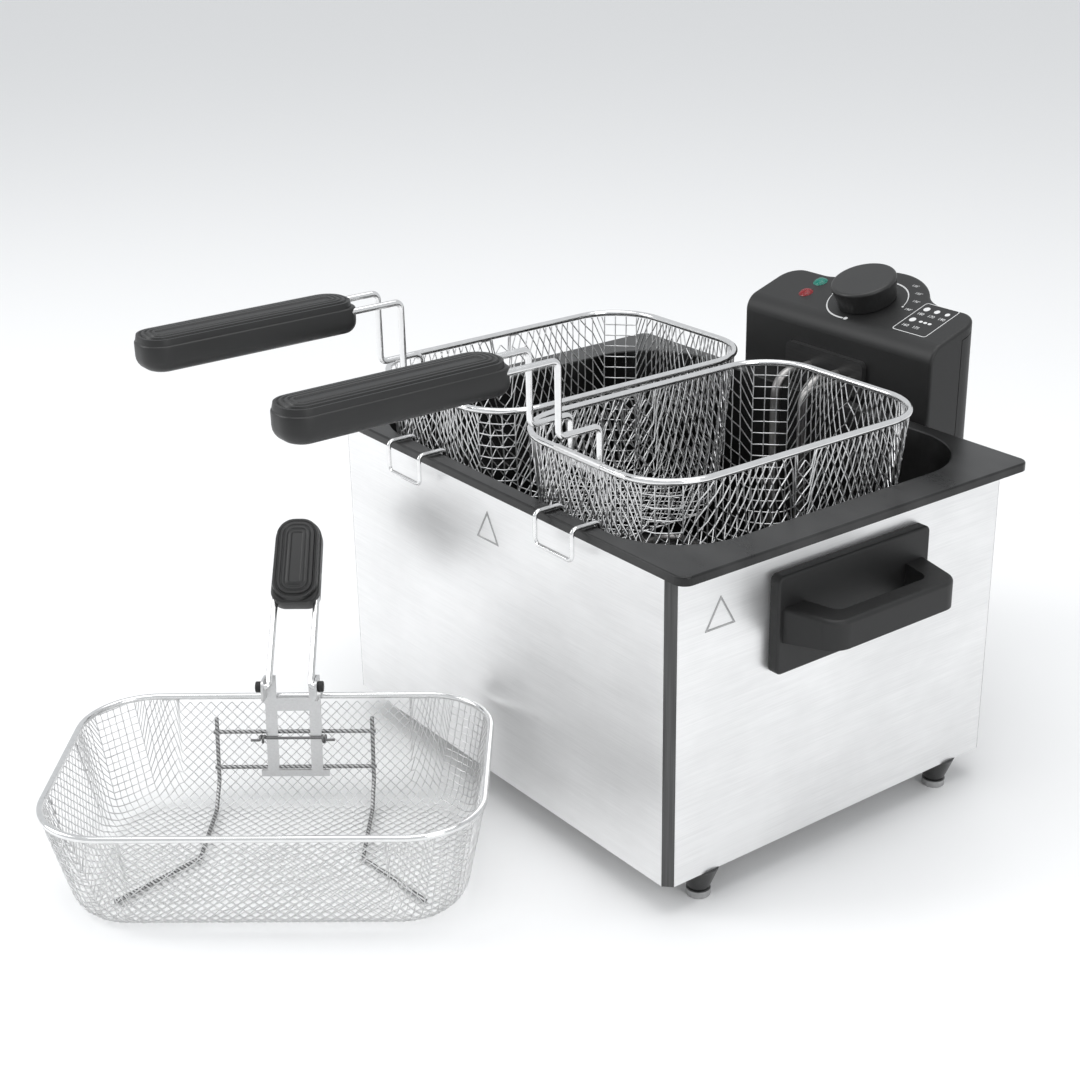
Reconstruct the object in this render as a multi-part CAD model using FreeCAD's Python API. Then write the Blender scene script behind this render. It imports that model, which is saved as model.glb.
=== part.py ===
import FreeCAD, Part
import math
import os

# Deep fryer with a lift-out oil pot, a lift-off control unit that carries the heating element,
# two small frying baskets hung on the pot's front rim, and one large basket beside it.
# Millimetres, +Z up. Front is -Y, the control unit stands at +Y, +X is to the right when seen
# from the front. Everything is modelled about the centre of the housing on the table, and saved
# with the origin at the middle of the footprint of the whole set.

V = FreeCAD.Vector
os.makedirs("parts", exist_ok=True)

# ---- driving dimensions ------------------------------------------------------------------
# housing
HOUSING_W = 320.0           # left to right over the panels
HOUSING_D = 260.0           # front to back over the panels
RIM_TOP = 213.4             # table to the top of the pot's rim
FOOT_H = 20.0
SHEET = 1.0                 # panel sheet
CORNER = 5.0                # chamfer of the corner posts
POST_FLANGE = 13.0          # how far a post reaches behind its panels
SEAM = 0.2                  # gap between a panel and a post
TUCK = 0.1                  # gap between a panel and what lies behind it
BASE_SHEET = 1.2
FOOT_IN_X = 10.0            # side panel to foot centre
FOOT_IN_Y = 32.0            # front or rear panel to foot centre
FOOT_TOP_R = 12.0
FOOT_NECK_R = 6.0
FOOT_PAD_R = 7.0
FOOT_PAD_H = 4.5
FOOT_PAD_EDGE = 0.8
FOOT_WELL_R = 3.6
SCREW_R = 1.8
SCREW_CLEAR = 0.1
SCREW_HEAD_R = 3.2
SCREW_HEAD_H = 2.2
SCREW_PROUD = 1.0           # thread that shows past a nut
NUT_R = 3.4
NUT_H = 2.6

# pot
POT_IN_X = 10.0             # outside of a side panel to the cavity
POT_IN_Y = 6.0              # outside of the front or rear panel to the cavity
POT_DEPTH = 150.0
POT_CORNER = 50.0
POT_SHEET = 1.2
POT_FLOOR_R = 16.0
POT_MOUTH_R = 1.0
RIM_OVER_X = 14.2           # rim beyond the side panels
RIM_OVER_Y = 4.2            # rim beyond the front and rear panels
LIP_H = 5.2
LIP_CORNER = 7.0
LIP_EDGE = 1.2
BODY_GAP = 0.4              # clearance between bodies that rest on or pass each other

# side handles
GRIP_PLATE_W = 118.0
GRIP_PLATE_H = 59.0
GRIP_PLATE_T = 7.0
GRIP_PLATE_DOWN = 52.4      # rim to the plate's centre
GRIP_PLATE_CORNER = 4.0
GRIP_PLATE_EDGE = 1.5
GRIP_REACH = 40.0           # from the panel to the outside of the grip
GRIP_ROOT_W = 111.0         # over the arms at the plate
GRIP_NOSE_W = 94.0          # over the arms at the outside
GRIP_BAR = 12.0             # thickness of the hand bar
GRIP_ARM = 16.0             # thickness of each arm at the plate
GRIP_UP = 11.0              # plate's centre to the top of the grip
GRIP_BAR_H = 17.0
GRIP_ROOT_H = 21.0
GRIP_CORNER = 12.0
GRIP_HOLLOW_CORNER = 7.0
GRIP_EDGE = 2.5
GRIP_SCREW_SPAN = 90.0

# guide on the rear panel and the control unit's shoe that slides down in it
GUIDE_W = 60.0
GUIDE_H = 107.0
GUIDE_NECK = 36.0
GUIDE_WEB = 1.5
GUIDE_SIDE = 3.0
GUIDE_DOWN = 4.0            # underside of the pot's lip to the top of the guide
SHOE_BACK = 0.8             # pot's lip to the shoe's head
SHOE_HEAD_T = 2.0

# control unit
CTRL_X = 5.0                # the unit stands a little right of centre
CTRL_W = 166.0
CTRL_D = 44.5               # front to the flat part of the back
CTRL_H = 186.0              # bottom to the sharp front top edge
CTRL_BACK = 7.3             # pot's lip to the unit's front
CTRL_UP = 44.6              # rim to the sharp front top edge
CTRL_BULGE_IN = 21.5        # front to the centre of the round bulge behind the knob
CTRL_BULGE_SIDE = 37.5      # bulge to the unit's sides
CTRL_SLOPE = 18.0           # degrees, the top rises to the back
CTRL_WALL = 2.5
CTRL_NOSE_R = 12.0          # round front top edge
CTRL_RIM_R = 2.2            # softened edge of the panel and the front corners
CTRL_BACK_R = 14.0          # plan radius of the back corners
CTRL_NECK_R = 28.0          # hollow plan radius where the bulge meets the back
CTRL_SEAM_IN = 25.5         # front to the seam of the rear cover
CTRL_SEAM = 0.5
CTRL_CAP_H = 7.0            # depth of the top cap over the rear cover
KNOB_IN = 30.0              # front to the knob's centre on the panel
KNOB_R = 21.8
KNOB_FOOT_R = 19.0
KNOB_H = 16.0
KNOB_LIFT = 0.6             # gap under the knob
KNOB_EDGE = 2.0
KNOB_ROOF = 6.0             # solid part above the shaft's socket
POINTER_R = 2.6
POINTER_TIP_R = 1.2
POINTER_L = 3.0
SHAFT_R = 3.0
SHAFT_CLEAR = 0.06
SHAFT_HOLE = 1.0            # the panel's hole round the shaft
THERMOSTAT_R = 15.0
THERMOSTAT_H = 16.0
BRIDGE_W = 34.0
BRIDGE_D = 18.0
BRIDGE_T = 1.0
LENS_R = 5.0
LENS_STEM_R = 4.0
LENS_STEM_L = 4.0
LENS_DOME_R = 6.75
LENS_DOME_DOWN = 4.5
GREEN_SIDE = -48.0          # from the unit's middle
RED_SIDE = -47.0
GREEN_BACK = 0.79           # of the unit's depth, from its front
RED_BACK = 0.47
RESET_R = 4.0
RESET_CLEAR = 0.3
RESET_L = 9.0
RESET_TRAVEL = 2.0
RESET_EDGE = 1.0
RESET_IN = 17.0             # from the unit's right side
RESET_UP = 48.0             # from the unit's bottom
GLAND_R = 6.0
GLAND_COLLAR = 2.5
GLAND_L = 6.0
GLAND_TAIL = 6.5
GLAND_EDGE = 1.5
GLAND_BORE_R = 3.6
GLAND_IN = 19.0             # from the unit's left side
GLAND_UP = 24.0
TERMINAL_W = 50.0
TERMINAL_D = 14.0
TERMINAL_H = 22.0
TERMINAL_X = -30.0

# heating element
TUBE_R = 3.25
TUBE_GAP = 25.0             # between the two element legs
TUBE_X = -4.5               # middle of the legs from the unit's middle
LEG_IN = 16.0               # pot wall to the legs
LEG_BEND = 14.0
ELEMENT_LIFT = 18.0         # element centre above the pot floor
ELEMENT_IN_X = 38.0         # pot wall to the outer runs
ELEMENT_IN_Y = 36.0         # front pot wall to the runs' front bends
ELEMENT_NOTCH = 30.0        # legs to the back bend of the inner runs
ELEMENT_INNER_X = 42.0
HEAD_PLATE_W = 69.0
HEAD_PLATE_T = 4.0
HEAD_PLATE_CORNER = 4.0
HEAD_PLATE_UP = 25.1        # rim to the top of the head plate
HEAD_PLATE_GAP = 1.2        # rim to the bottom of the head plate
HEAD_TUBE_UP = 12.6         # rim to the tubes that cross it
PROBE_R = 1.5
PROBE_SIDE = 24.0           # from the middle of the legs
PROBE_BEND = 10.0
BULB_R = 3.0
BULB_L = 36.0
BULB_UP = 10.0              # element to the bulb's end
BULB_TIP_R = 2.0
BULB_AHEAD = 14.0           # legs to the bulb

# small baskets
WIRE_R = 1.9
RIM_WIRE_R = 2.0
NET_T = 1.2                 # thickness of the closed solid that stands for the woven net
SMALL_WALL_GAP = 6.0        # basket rim to the pot's side wall
SMALL_MID_GAP = 8.0         # between the two rims
SMALL_FRONT_IN = 10.7       # pot's lip to the basket rim
SMALL_BACK_GAP = 3.5        # basket rim to the thermostat's bulb
SMALL_H = 112.0
SMALL_UP = 36.1             # pot's rim to the top of the basket
SMALL_TAPER = 9.0           # each side, rim to floor
SMALL_CORNER = 38.0
SMALL_FLOOR_R = 14.0
HOOK_WIRE_R = 1.3
HOOK_W = 33.0
HOOK_OUT = 4.0              # clear of the pot's lip
HOOK_DROP = 18.5
HOOK_TAIL = 9.0             # welded length down the net
HOOK_BEND = 3.4
HANDLE_GAP = 25.0           # between a handle's two wires
HANDLE_STEP_Z = 20.0        # first level above the basket rim
HANDLE_TOP_Z = 62.0         # second level above the basket rim
HANDLE_STEP_Y = 27.5
HANDLE_BEND = 4.0
CLIP_W = 40.0
CLIP_H = 8.0
CLIP_T = 6.5
CLIP_EDGE = 1.2
CLIP_FLOOR = 1.6            # metal under the sockets
GRIP_START = 28.0           # from the upright wires to the grip
WIRE_IN_GRIP = 24.0
SOCKET_CLEAR = 0.15
SMALL_GRIP_L = 130.0
SMALL_GRIP_W = 30.0
SMALL_GRIP_T = 20.0
SMALL_GRIP_DROP = 3.0       # grip centre below its wires
HAND_ROUND = 0.37           # edge radius of a grip's section over its thickness
HAND_TIP = 0.43             # plan radius of a grip's tip over its width
HAND_ROOT_R = 2.5

# large basket
LARGE_W = 250.0
LARGE_D = 168.0
LARGE_H = 69.0
LARGE_TAPER = 13.0
LARGE_CORNER = 43.0
LARGE_FLOOR_R = 15.0
LARGE_X = -26.0
LARGE_GAP = 5.1             # housing front to the nearest point of the basket's rim
LARGE_TURN = 52.0           # degrees from +X to the basket's long side
FRAME_WIRE_R = 1.25
FRAME_GAP = 0.8             # net wall to the frame wires
FRAME_FLOOR_GAP = 0.4
FRAME_HALF_W = 48.0
FRAME_TOP_DOWN = 13.0       # rim to the ends of the struts
FRAME_CROSS_DOWN = 22.0     # rim to the upper cross wire
FRAME_PAST = 2.0            # cross wires past the struts
FRAME_BEND = 5.0
FRAME_SPLAY_X = 24.0        # floor edge to the struts' far ends
FRAME_SPLAY_Y = 26.0
BRACKET_W = 34.0
BRACKET_T = 1.5
BRACKET_DROP = 46.0
BRACKET_GAP = 0.1           # frame wires to the plate
BRACKET_TOP_H = 8.0
BRACKET_FOOT_OVER = 4.0
BRACKET_FOOT_H = 4.0
STRAP_W = 7.0
EAR_UP = 10.0               # hinge axis above the basket rim
EAR_REACH = 9.0             # plate to the hinge axis
EAR_R = 4.0
EAR_EDGE = 4.5              # hinge axis to the ear's edge
EAR_BOTTOM = 1.0
SPRING_R = 0.9
SPRING_OVER = 9.0
SPRING_DOWN = 25.0
SPRING_GAP = 0.1
LARGE_WIRE_R = 2.0
LARGE_WIRE_L = 54.0
LARGE_WIRE_SIDE = 0.6       # handle wire to the ears' inner faces
LARGE_PIN_PAST = 1.5
LARGE_BEND = 2.3
LARGE_GRIP_L = 57.5
LARGE_GRIP_W = 31.0
LARGE_GRIP_T = 22.0
LARGE_RISE = 40.0           # degrees, the open handle above level
HINGE_CLEAR = 0.06

# ---- derived dimensions ------------------------------------------------------------------
HALF_W = HOUSING_W / 2
HALF_D = HOUSING_D / 2
PANEL_TOP = RIM_TOP - POT_SHEET - BODY_GAP
FOOT_X = HALF_W - FOOT_IN_X
FOOT_Y = HALF_D - FOOT_IN_Y
POT_W = HOUSING_W - 2 * POT_IN_X
POT_D = HOUSING_D - 2 * POT_IN_Y
POT_FLOOR = RIM_TOP - POT_DEPTH
LIP_Y = HALF_D + RIM_OVER_Y
GRIP_PLATE_Z = RIM_TOP - GRIP_PLATE_DOWN
GRIP_TOP_Z = GRIP_PLATE_Z + GRIP_UP

CTRL_FRONT_Y = LIP_Y + CTRL_BACK
CTRL_REAR_Y = CTRL_FRONT_Y + CTRL_D
CTRL_BULGE_Y = CTRL_FRONT_Y + CTRL_BULGE_IN
CTRL_BULGE_R = CTRL_W / 2 - CTRL_BULGE_SIDE
CTRL_SEAM_Y = CTRL_FRONT_Y + CTRL_SEAM_IN
CTRL_EDGE_Z = RIM_TOP + CTRL_UP
CTRL_BOTTOM_Z = CTRL_EDGE_Z - CTRL_H
SLOPE = math.radians(CTRL_SLOPE)
PANEL_UP = V(0, -math.sin(SLOPE), math.cos(SLOPE))
KNOB_XY = (CTRL_X, CTRL_FRONT_Y + KNOB_IN)
GREEN_XY = (CTRL_X + GREEN_SIDE, CTRL_FRONT_Y + GREEN_BACK * CTRL_D)
RED_XY = (CTRL_X + RED_SIDE, CTRL_FRONT_Y + RED_BACK * CTRL_D)
RESET_AT = V(CTRL_X + CTRL_W / 2 - RESET_IN, CTRL_REAR_Y, CTRL_BOTTOM_Z + RESET_UP)
GLAND_AT = V(CTRL_X - CTRL_W / 2 + GLAND_IN, CTRL_REAR_Y, CTRL_BOTTOM_Z + GLAND_UP)
GUIDE_TOP = RIM_TOP - LIP_H - POT_SHEET - GUIDE_DOWN
GUIDE_BOTTOM = GUIDE_TOP - GUIDE_H
GUIDE_BACK = CTRL_FRONT_Y - BODY_GAP
SHOE_HEAD_Y = LIP_Y + SHOE_BACK

ELEMENT_Z = POT_FLOOR + ELEMENT_LIFT
LEG_Y = POT_D / 2 - LEG_IN
LEG_MID_X = CTRL_X + TUBE_X
LEGS_X = (LEG_MID_X - TUBE_GAP / 2, LEG_MID_X + TUBE_GAP / 2)
PROBE_X = LEG_MID_X + PROBE_SIDE
BULB_Y = LEG_Y - BULB_AHEAD
HEAD_TUBE_Z = RIM_TOP + HEAD_TUBE_UP

SMALL_W = POT_W / 2 - SMALL_WALL_GAP - SMALL_MID_GAP / 2
SMALL_X = (SMALL_W + SMALL_MID_GAP) / 2
SMALL_FRONT_Y = -LIP_Y + SMALL_FRONT_IN
SMALL_D = BULB_Y - BULB_R - SMALL_BACK_GAP - SMALL_FRONT_Y
SMALL_Y = SMALL_FRONT_Y + SMALL_D / 2
SMALL_FLOOR_Z = RIM_TOP + SMALL_UP - SMALL_H
SMALL_RIM = SMALL_H - RIM_WIRE_R          # rim wire above the basket's own floor
CLIP_Y = -(SMALL_D / 2 - 2 * RIM_WIRE_R)
HANDLE_IN_Y = CLIP_Y + WIRE_R + BODY_GAP
HANDLE_OUT_Y = HANDLE_IN_Y - HANDLE_STEP_Y
SMALL_GRIP_Y = HANDLE_OUT_Y - GRIP_START

TURN = math.radians(LARGE_TURN)
LARGE_REACH = ((LARGE_W / 2 - LARGE_CORNER) * math.sin(TURN)
               + (LARGE_D / 2 - LARGE_CORNER) * math.cos(TURN) + LARGE_CORNER)
LARGE_AT = V(LARGE_X, -(HALF_D + LARGE_GAP + LARGE_REACH), 0)
LARGE_RIM_Z = LARGE_H - RIM_WIRE_R
LARGE_SLOPE = math.atan(LARGE_TAPER / (LARGE_H - 2 * RIM_WIRE_R))
LARGE_WALL_Y = LARGE_D / 2 - RIM_WIRE_R - NET_T / 2
FRAME_IN = FRAME_WIRE_R + FRAME_GAP
PLATE_IN = FRAME_IN + FRAME_WIRE_R + BRACKET_GAP

SET_FRONT_Y = LARGE_AT.y - LARGE_REACH
SET_REAR_Y = CTRL_BULGE_Y + CTRL_BULGE_R


# ---- helpers -----------------------------------------------------------------------------
def save(name, shape):
    """Write one node, moved so that the set's footprint is centred on the origin."""
    placed = shape.copy()
    placed.translate(V(0, -(SET_FRONT_Y + SET_REAR_Y) / 2, 0))
    placed.exportStep("parts/" + name + ".step")


def block(low, high):
    size = high - low
    return Part.makeBox(size.x, size.y, size.z, low)


def outline(width, depth, corner, z, centre=V()):
    """Closed wire: a rectangle with round corners, centred on `centre`, at height z."""
    hx, hy = width / 2, depth / 2
    k = corner * math.sqrt(0.5)
    edges = []
    for sx, sy, turn in ((1, 1, 0), (-1, 1, 1), (-1, -1, 2), (1, -1, 3)):
        c = centre + V(sx * (hx - corner), sy * (hy - corner), z)
        start = math.radians(90 * turn)
        end = start + math.pi / 2
        a = c + V(math.cos(start), math.sin(start), 0) * corner
        m = c + V(sx * k, sy * k, 0)
        b = c + V(math.cos(end), math.sin(end), 0) * corner
        edges.append((a, m, b))
    parts = []
    for i, (a, m, b) in enumerate(edges):
        parts.append(Part.Arc(a, m, b).toShape())
        parts.append(Part.LineSegment(b, edges[(i + 1) % 4][0]).toShape())
    return Part.Wire(parts)


def slab(width, depth, corner, z0, z1, centre=V()):
    """Upright prism on a round-cornered rectangle."""
    return Part.Face(outline(width, depth, corner, z0, centre)).extrude(V(0, 0, z1 - z0))


def prism(points, z0, z1):
    """Upright prism on a polygon of (x, y) points."""
    corners = [V(x, y, z0) for x, y in points]
    return Part.Face(Part.makePolygon(corners + corners[:1])).extrude(V(0, 0, z1 - z0))


def bent_path(points, bend):
    """Straight runs through the points, joined by tangent arcs of radius `bend`."""
    edges = []
    here = points[0]
    for before, corner, after in zip(points, points[1:], points[2:]):
        back = (before - corner).normalize()
        ahead = (after - corner).normalize()
        half = back.getAngle(ahead) / 2
        cut = bend / math.tan(half)
        start = corner + back * cut
        end = corner + ahead * cut
        middle = (back + ahead).normalize()
        centre = corner + middle * (bend / math.sin(half))
        edges.append(Part.LineSegment(here, start).toShape())
        edges.append(Part.Arc(start, centre - middle * bend, end).toShape())
        here = end
    edges.append(Part.LineSegment(here, points[-1]).toShape())
    return Part.Wire(edges)


def wire_along(path, radius):
    """Round wire swept along a path."""
    first = path.Edges[0]
    start = first.valueAt(first.FirstParameter)
    along = first.tangentAt(first.FirstParameter)
    section = Part.Wire(Part.makeCircle(radius, start, along))
    return path.makePipeShell([section], True, True)


def bent_wire(points, bend, radius):
    return wire_along(bent_path(points, bend), radius)


def rod(start, end, radius):
    along = end - start
    return Part.makeCylinder(radius, along.Length, start, along)


def rounded_at(solid, radius, wanted):
    """Fillet the edges whose midpoint passes the test."""
    edges = []
    for edge in solid.Edges:
        middle = edge.valueAt((edge.FirstParameter + edge.LastParameter) / 2)
        if wanted(middle):
            edges.append(edge)
    return solid.makeFillet(radius, edges)


def corner_signs():
    return (("front_left", -1, -1), ("front_right", 1, -1), ("rear_left", -1, 1), ("rear_right", 1, 1))


# ---- housing -----------------------------------------------------------------------------
def panels():
    """Four flat brushed panels that stand between the corner posts."""
    reach_x = HALF_W - CORNER
    reach_y = HALF_D - CORNER
    front = block(V(-reach_x, -HALF_D, FOOT_H), V(reach_x, -HALF_D + SHEET, PANEL_TOP))
    right = block(V(HALF_W - SHEET, -reach_y, FOOT_H), V(HALF_W, reach_y, PANEL_TOP))
    for sy in (-1, 1):
        at = V(HALF_W - SHEET, sy * GRIP_SCREW_SPAN / 2, GRIP_PLATE_Z)
        right = right.cut(Part.makeCylinder(SCREW_R + SCREW_CLEAR, SHEET, at, V(1, 0, 0)))
    save("panel_front", front)
    save("panel_rear", front.mirror(V(), V(0, 1, 0)))
    save("panel_right", right)
    save("panel_left", right.mirror(V(), V(1, 0, 0)))


def corner_posts():
    """Chamfered posts with flanges that run behind the panels."""
    edge = CORNER - SEAM
    tuck = SHEET + TUCK
    deep = tuck + SHEET
    inner = CORNER + SHEET * (math.sqrt(2) - 1) - TUCK
    profile = ((edge, 0), (0, edge), (tuck, edge), (tuck, POST_FLANGE), (deep, POST_FLANGE),
               (deep, inner), (inner, deep), (POST_FLANGE, deep), (POST_FLANGE, tuck), (edge, tuck))
    for name, sx, sy in corner_signs():
        points = [(sx * (HALF_W - a), sy * (HALF_D - b)) for a, b in profile]
        save("corner_post_" + name, prism(points, FOOT_H, PANEL_TOP))


def base_plate():
    """Flat steel floor between the panels, cut away at the posts, holed for the foot screws."""
    inset = SHEET + TUCK
    cut = POST_FLANGE + SHEET + BODY_GAP
    x, y = HALF_W - inset, HALF_D - inset
    points = ((x, y - cut), (x - cut, y), (-x + cut, y), (-x, y - cut),
              (-x, -y + cut), (-x + cut, -y), (x - cut, -y), (x, -y + cut))
    plate = prism(points, FOOT_H, FOOT_H + BASE_SHEET)
    for _, sx, sy in corner_signs():
        hole = Part.makeCylinder(SCREW_R, BASE_SHEET, V(sx * FOOT_X, sy * FOOT_Y, FOOT_H))
        plate = plate.cut(hole)
    return plate


def foot(sx, sy):
    """Flared rubber foot on a narrow pad, with a screw well up from below."""
    cone = Part.makeCone(FOOT_NECK_R, FOOT_TOP_R, FOOT_H - FOOT_PAD_H, V(0, 0, FOOT_PAD_H))
    pad = Part.makeCylinder(FOOT_PAD_R, FOOT_PAD_H)
    pad = rounded_at(pad, FOOT_PAD_EDGE, lambda p: p.z < 0.1)
    well = Part.makeCylinder(FOOT_WELL_R, FOOT_H / 2)
    bore = Part.makeCylinder(SCREW_R, FOOT_H)
    shape = cone.fuse(pad).cut(well).cut(bore)
    shape.translate(V(sx * FOOT_X, sy * FOOT_Y, 0))
    return shape


def foot_screws():
    """One screw up through each foot into the base plate, with a nut on top."""
    screws = []
    long = FOOT_H / 2 + BASE_SHEET + NUT_H + SCREW_PROUD
    for _, sx, sy in corner_signs():
        at = V(sx * FOOT_X, sy * FOOT_Y, 0)
        head = Part.makeCylinder(SCREW_HEAD_R, SCREW_HEAD_H, at + V(0, 0, FOOT_H / 2 - SCREW_HEAD_H))
        shank = Part.makeCylinder(SCREW_R, long, at + V(0, 0, FOOT_H / 2))
        nut = Part.makeCylinder(NUT_R, NUT_H, at + V(0, 0, FOOT_H + BASE_SHEET))
        screws.append(head.fuse(shank).fuse(nut).removeSplitter())
    return Part.makeCompound(screws)


def side_handle():
    """Right carry handle: a plate on the panel and a hollow hand bar in front of it."""
    low = V(HALF_W, -GRIP_PLATE_W / 2, GRIP_PLATE_Z - GRIP_PLATE_H / 2)
    high = V(HALF_W + GRIP_PLATE_T, GRIP_PLATE_W / 2, GRIP_PLATE_Z + GRIP_PLATE_H / 2)
    plate = block(low, high)
    plate = rounded_at(plate, GRIP_PLATE_CORNER, lambda p: abs(p.x - HALF_W - GRIP_PLATE_T / 2) < 0.1)
    plate = rounded_at(plate, GRIP_PLATE_EDGE, lambda p: p.x > HALF_W + GRIP_PLATE_T - 0.1)

    root = HALF_W + GRIP_PLATE_T
    nose = HALF_W + GRIP_REACH
    drop = GRIP_TOP_Z - GRIP_ROOT_H
    middle = (drop + GRIP_TOP_Z) / 2
    loop = prism(((root, -GRIP_ROOT_W / 2), (nose, -GRIP_NOSE_W / 2),
                  (nose, GRIP_NOSE_W / 2), (root, GRIP_ROOT_W / 2)), drop, GRIP_TOP_Z)
    loop = rounded_at(loop, GRIP_CORNER, lambda p: p.x > nose - 0.1 and abs(p.z - middle) < 0.1)
    # the underside rises towards the hand bar
    rise = GRIP_ROOT_H - GRIP_BAR_H
    wedge = Part.makePolygon([V(root, 0, drop - 1), V(nose + 1, 0, drop - 1), V(nose + 1, 0, drop + rise),
                              V(root, 0, drop), V(root, 0, drop - 1)])
    under = Part.Face(wedge).extrude(V(0, GRIP_PLATE_W, 0))
    under.translate(V(0, -GRIP_PLATE_W / 2, 0))
    loop = loop.cut(under)
    loop = rounded_at(loop, GRIP_EDGE, lambda p: p.x > root + 0.1 and abs(p.z - GRIP_TOP_Z) < 0.1)

    hollow_root = GRIP_ROOT_W / 2 - GRIP_ARM
    hollow_nose = GRIP_NOSE_W / 2 - GRIP_BAR
    back = nose - GRIP_BAR
    hollow = prism(((root, -hollow_root), (back, -hollow_nose), (back, hollow_nose), (root, hollow_root)),
                   drop - 1, GRIP_TOP_Z + 1)
    hollow = rounded_at(hollow, GRIP_HOLLOW_CORNER, lambda p: p.x > back - 0.1 and abs(p.z - middle) < 0.1)
    handle = plate.fuse(loop.cut(hollow)).removeSplitter()
    for sy in (-1, 1):
        at = V(HALF_W, sy * GRIP_SCREW_SPAN / 2, GRIP_PLATE_Z)
        handle = handle.cut(Part.makeCylinder(SCREW_R, GRIP_REACH / 2, at, V(1, 0, 0)))
    return handle


def handle_screws():
    """Pan heads inside the side panels, shanks out into the carry handles."""
    screws = []
    for sx in (-1, 1):
        for sy in (-1, 1):
            at = V(sx * (HALF_W - SHEET), sy * GRIP_SCREW_SPAN / 2, GRIP_PLATE_Z)
            head = Part.makeCylinder(SCREW_HEAD_R, SCREW_HEAD_H, at, V(-sx, 0, 0))
            shank = Part.makeCylinder(SCREW_R, GRIP_REACH / 2 - SHEET, at, V(sx, 0, 0))
            screws.append(head.fuse(shank).removeSplitter())
    return Part.makeCompound(screws)


def rear_guide():
    """Channel with inturned lips that holds the control unit's shoe."""
    half = GUIDE_W / 2
    low = GUIDE_BOTTOM + GUIDE_SIDE
    body = block(V(CTRL_X - half, HALF_D, GUIDE_BOTTOM), V(CTRL_X + half, GUIDE_BACK, GUIDE_TOP))
    head_room = block(V(CTRL_X - half + GUIDE_SIDE, HALF_D + GUIDE_WEB, low),
                      V(CTRL_X + half - GUIDE_SIDE, SHOE_HEAD_Y + SHOE_HEAD_T + BODY_GAP, GUIDE_TOP))
    neck_room = block(V(CTRL_X - GUIDE_NECK / 2, HALF_D + GUIDE_WEB, low),
                      V(CTRL_X + GUIDE_NECK / 2, GUIDE_BACK, GUIDE_TOP))
    return body.cut(head_room).cut(neck_room)


def guide_shoe():
    """T-shaped shoe on the control unit's front, wide head inside the guide's lips."""
    half = GUIDE_W / 2 - GUIDE_SIDE - BODY_GAP
    neck = GUIDE_NECK / 2 - BODY_GAP
    low = GUIDE_BOTTOM + GUIDE_SIDE + BODY_GAP
    head = block(V(CTRL_X - half, SHOE_HEAD_Y, low), V(CTRL_X + half, SHOE_HEAD_Y + SHOE_HEAD_T, GUIDE_TOP))
    stem = block(V(CTRL_X - neck, SHOE_HEAD_Y, low), V(CTRL_X + neck, CTRL_FRONT_Y, GUIDE_TOP))
    return head.fuse(stem).removeSplitter()


# ---- pot ---------------------------------------------------------------------------------
def pot():
    """Deep-drawn pot: round-cornered tub, flat flange and a lip turned down all round."""
    wall = POT_SHEET
    tub = slab(POT_W + 2 * wall, POT_D + 2 * wall, POT_CORNER + wall, POT_FLOOR - wall, RIM_TOP)
    tub = rounded_at(tub, POT_FLOOR_R + wall, lambda p: p.z < POT_FLOOR - wall + 0.01)
    flange_w = HOUSING_W + 2 * RIM_OVER_X
    flange_d = HOUSING_D + 2 * RIM_OVER_Y
    lip = slab(flange_w, flange_d, LIP_CORNER, RIM_TOP - LIP_H, RIM_TOP)
    lip = rounded_at(lip, LIP_EDGE, lambda p: p.z > RIM_TOP - 0.01)
    under = slab(flange_w - 2 * wall, flange_d - 2 * wall, LIP_CORNER - wall,
                 RIM_TOP - LIP_H, RIM_TOP - wall)
    cavity = slab(POT_W, POT_D, POT_CORNER, POT_FLOOR, RIM_TOP)
    cavity = rounded_at(cavity, POT_FLOOR_R, lambda p: p.z < POT_FLOOR + 0.01)
    shape = lip.cut(under).fuse(tub).cut(cavity).removeSplitter()
    return rounded_at(shape, POT_MOUTH_R, lambda p: p.z > RIM_TOP - 0.01 and abs(p.x) < POT_W / 2 + 1
                      and abs(p.y) < POT_D / 2 + 1)


# ---- control unit ------------------------------------------------------------------------
def panel_point(x, y, lift=0.0):
    """Point on the sloping control panel at plan position x, y, raised along its normal."""
    z = CTRL_EDGE_Z + (y - CTRL_FRONT_Y) * math.tan(SLOPE)
    return V(x, y, z) + PANEL_UP * lift


def arc_through(start, middle, end):
    return Part.Arc(start, middle, end).toShape()


def round_corner(corner, before, after, radius):
    """End points and middle of the arc that rounds a right-angled plan corner."""
    back = (before - corner).normalize() * radius
    ahead = (after - corner).normalize() * radius
    centre = corner + back + ahead
    return corner + back, centre - (back + ahead) * math.sqrt(0.5), corner + ahead


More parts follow.
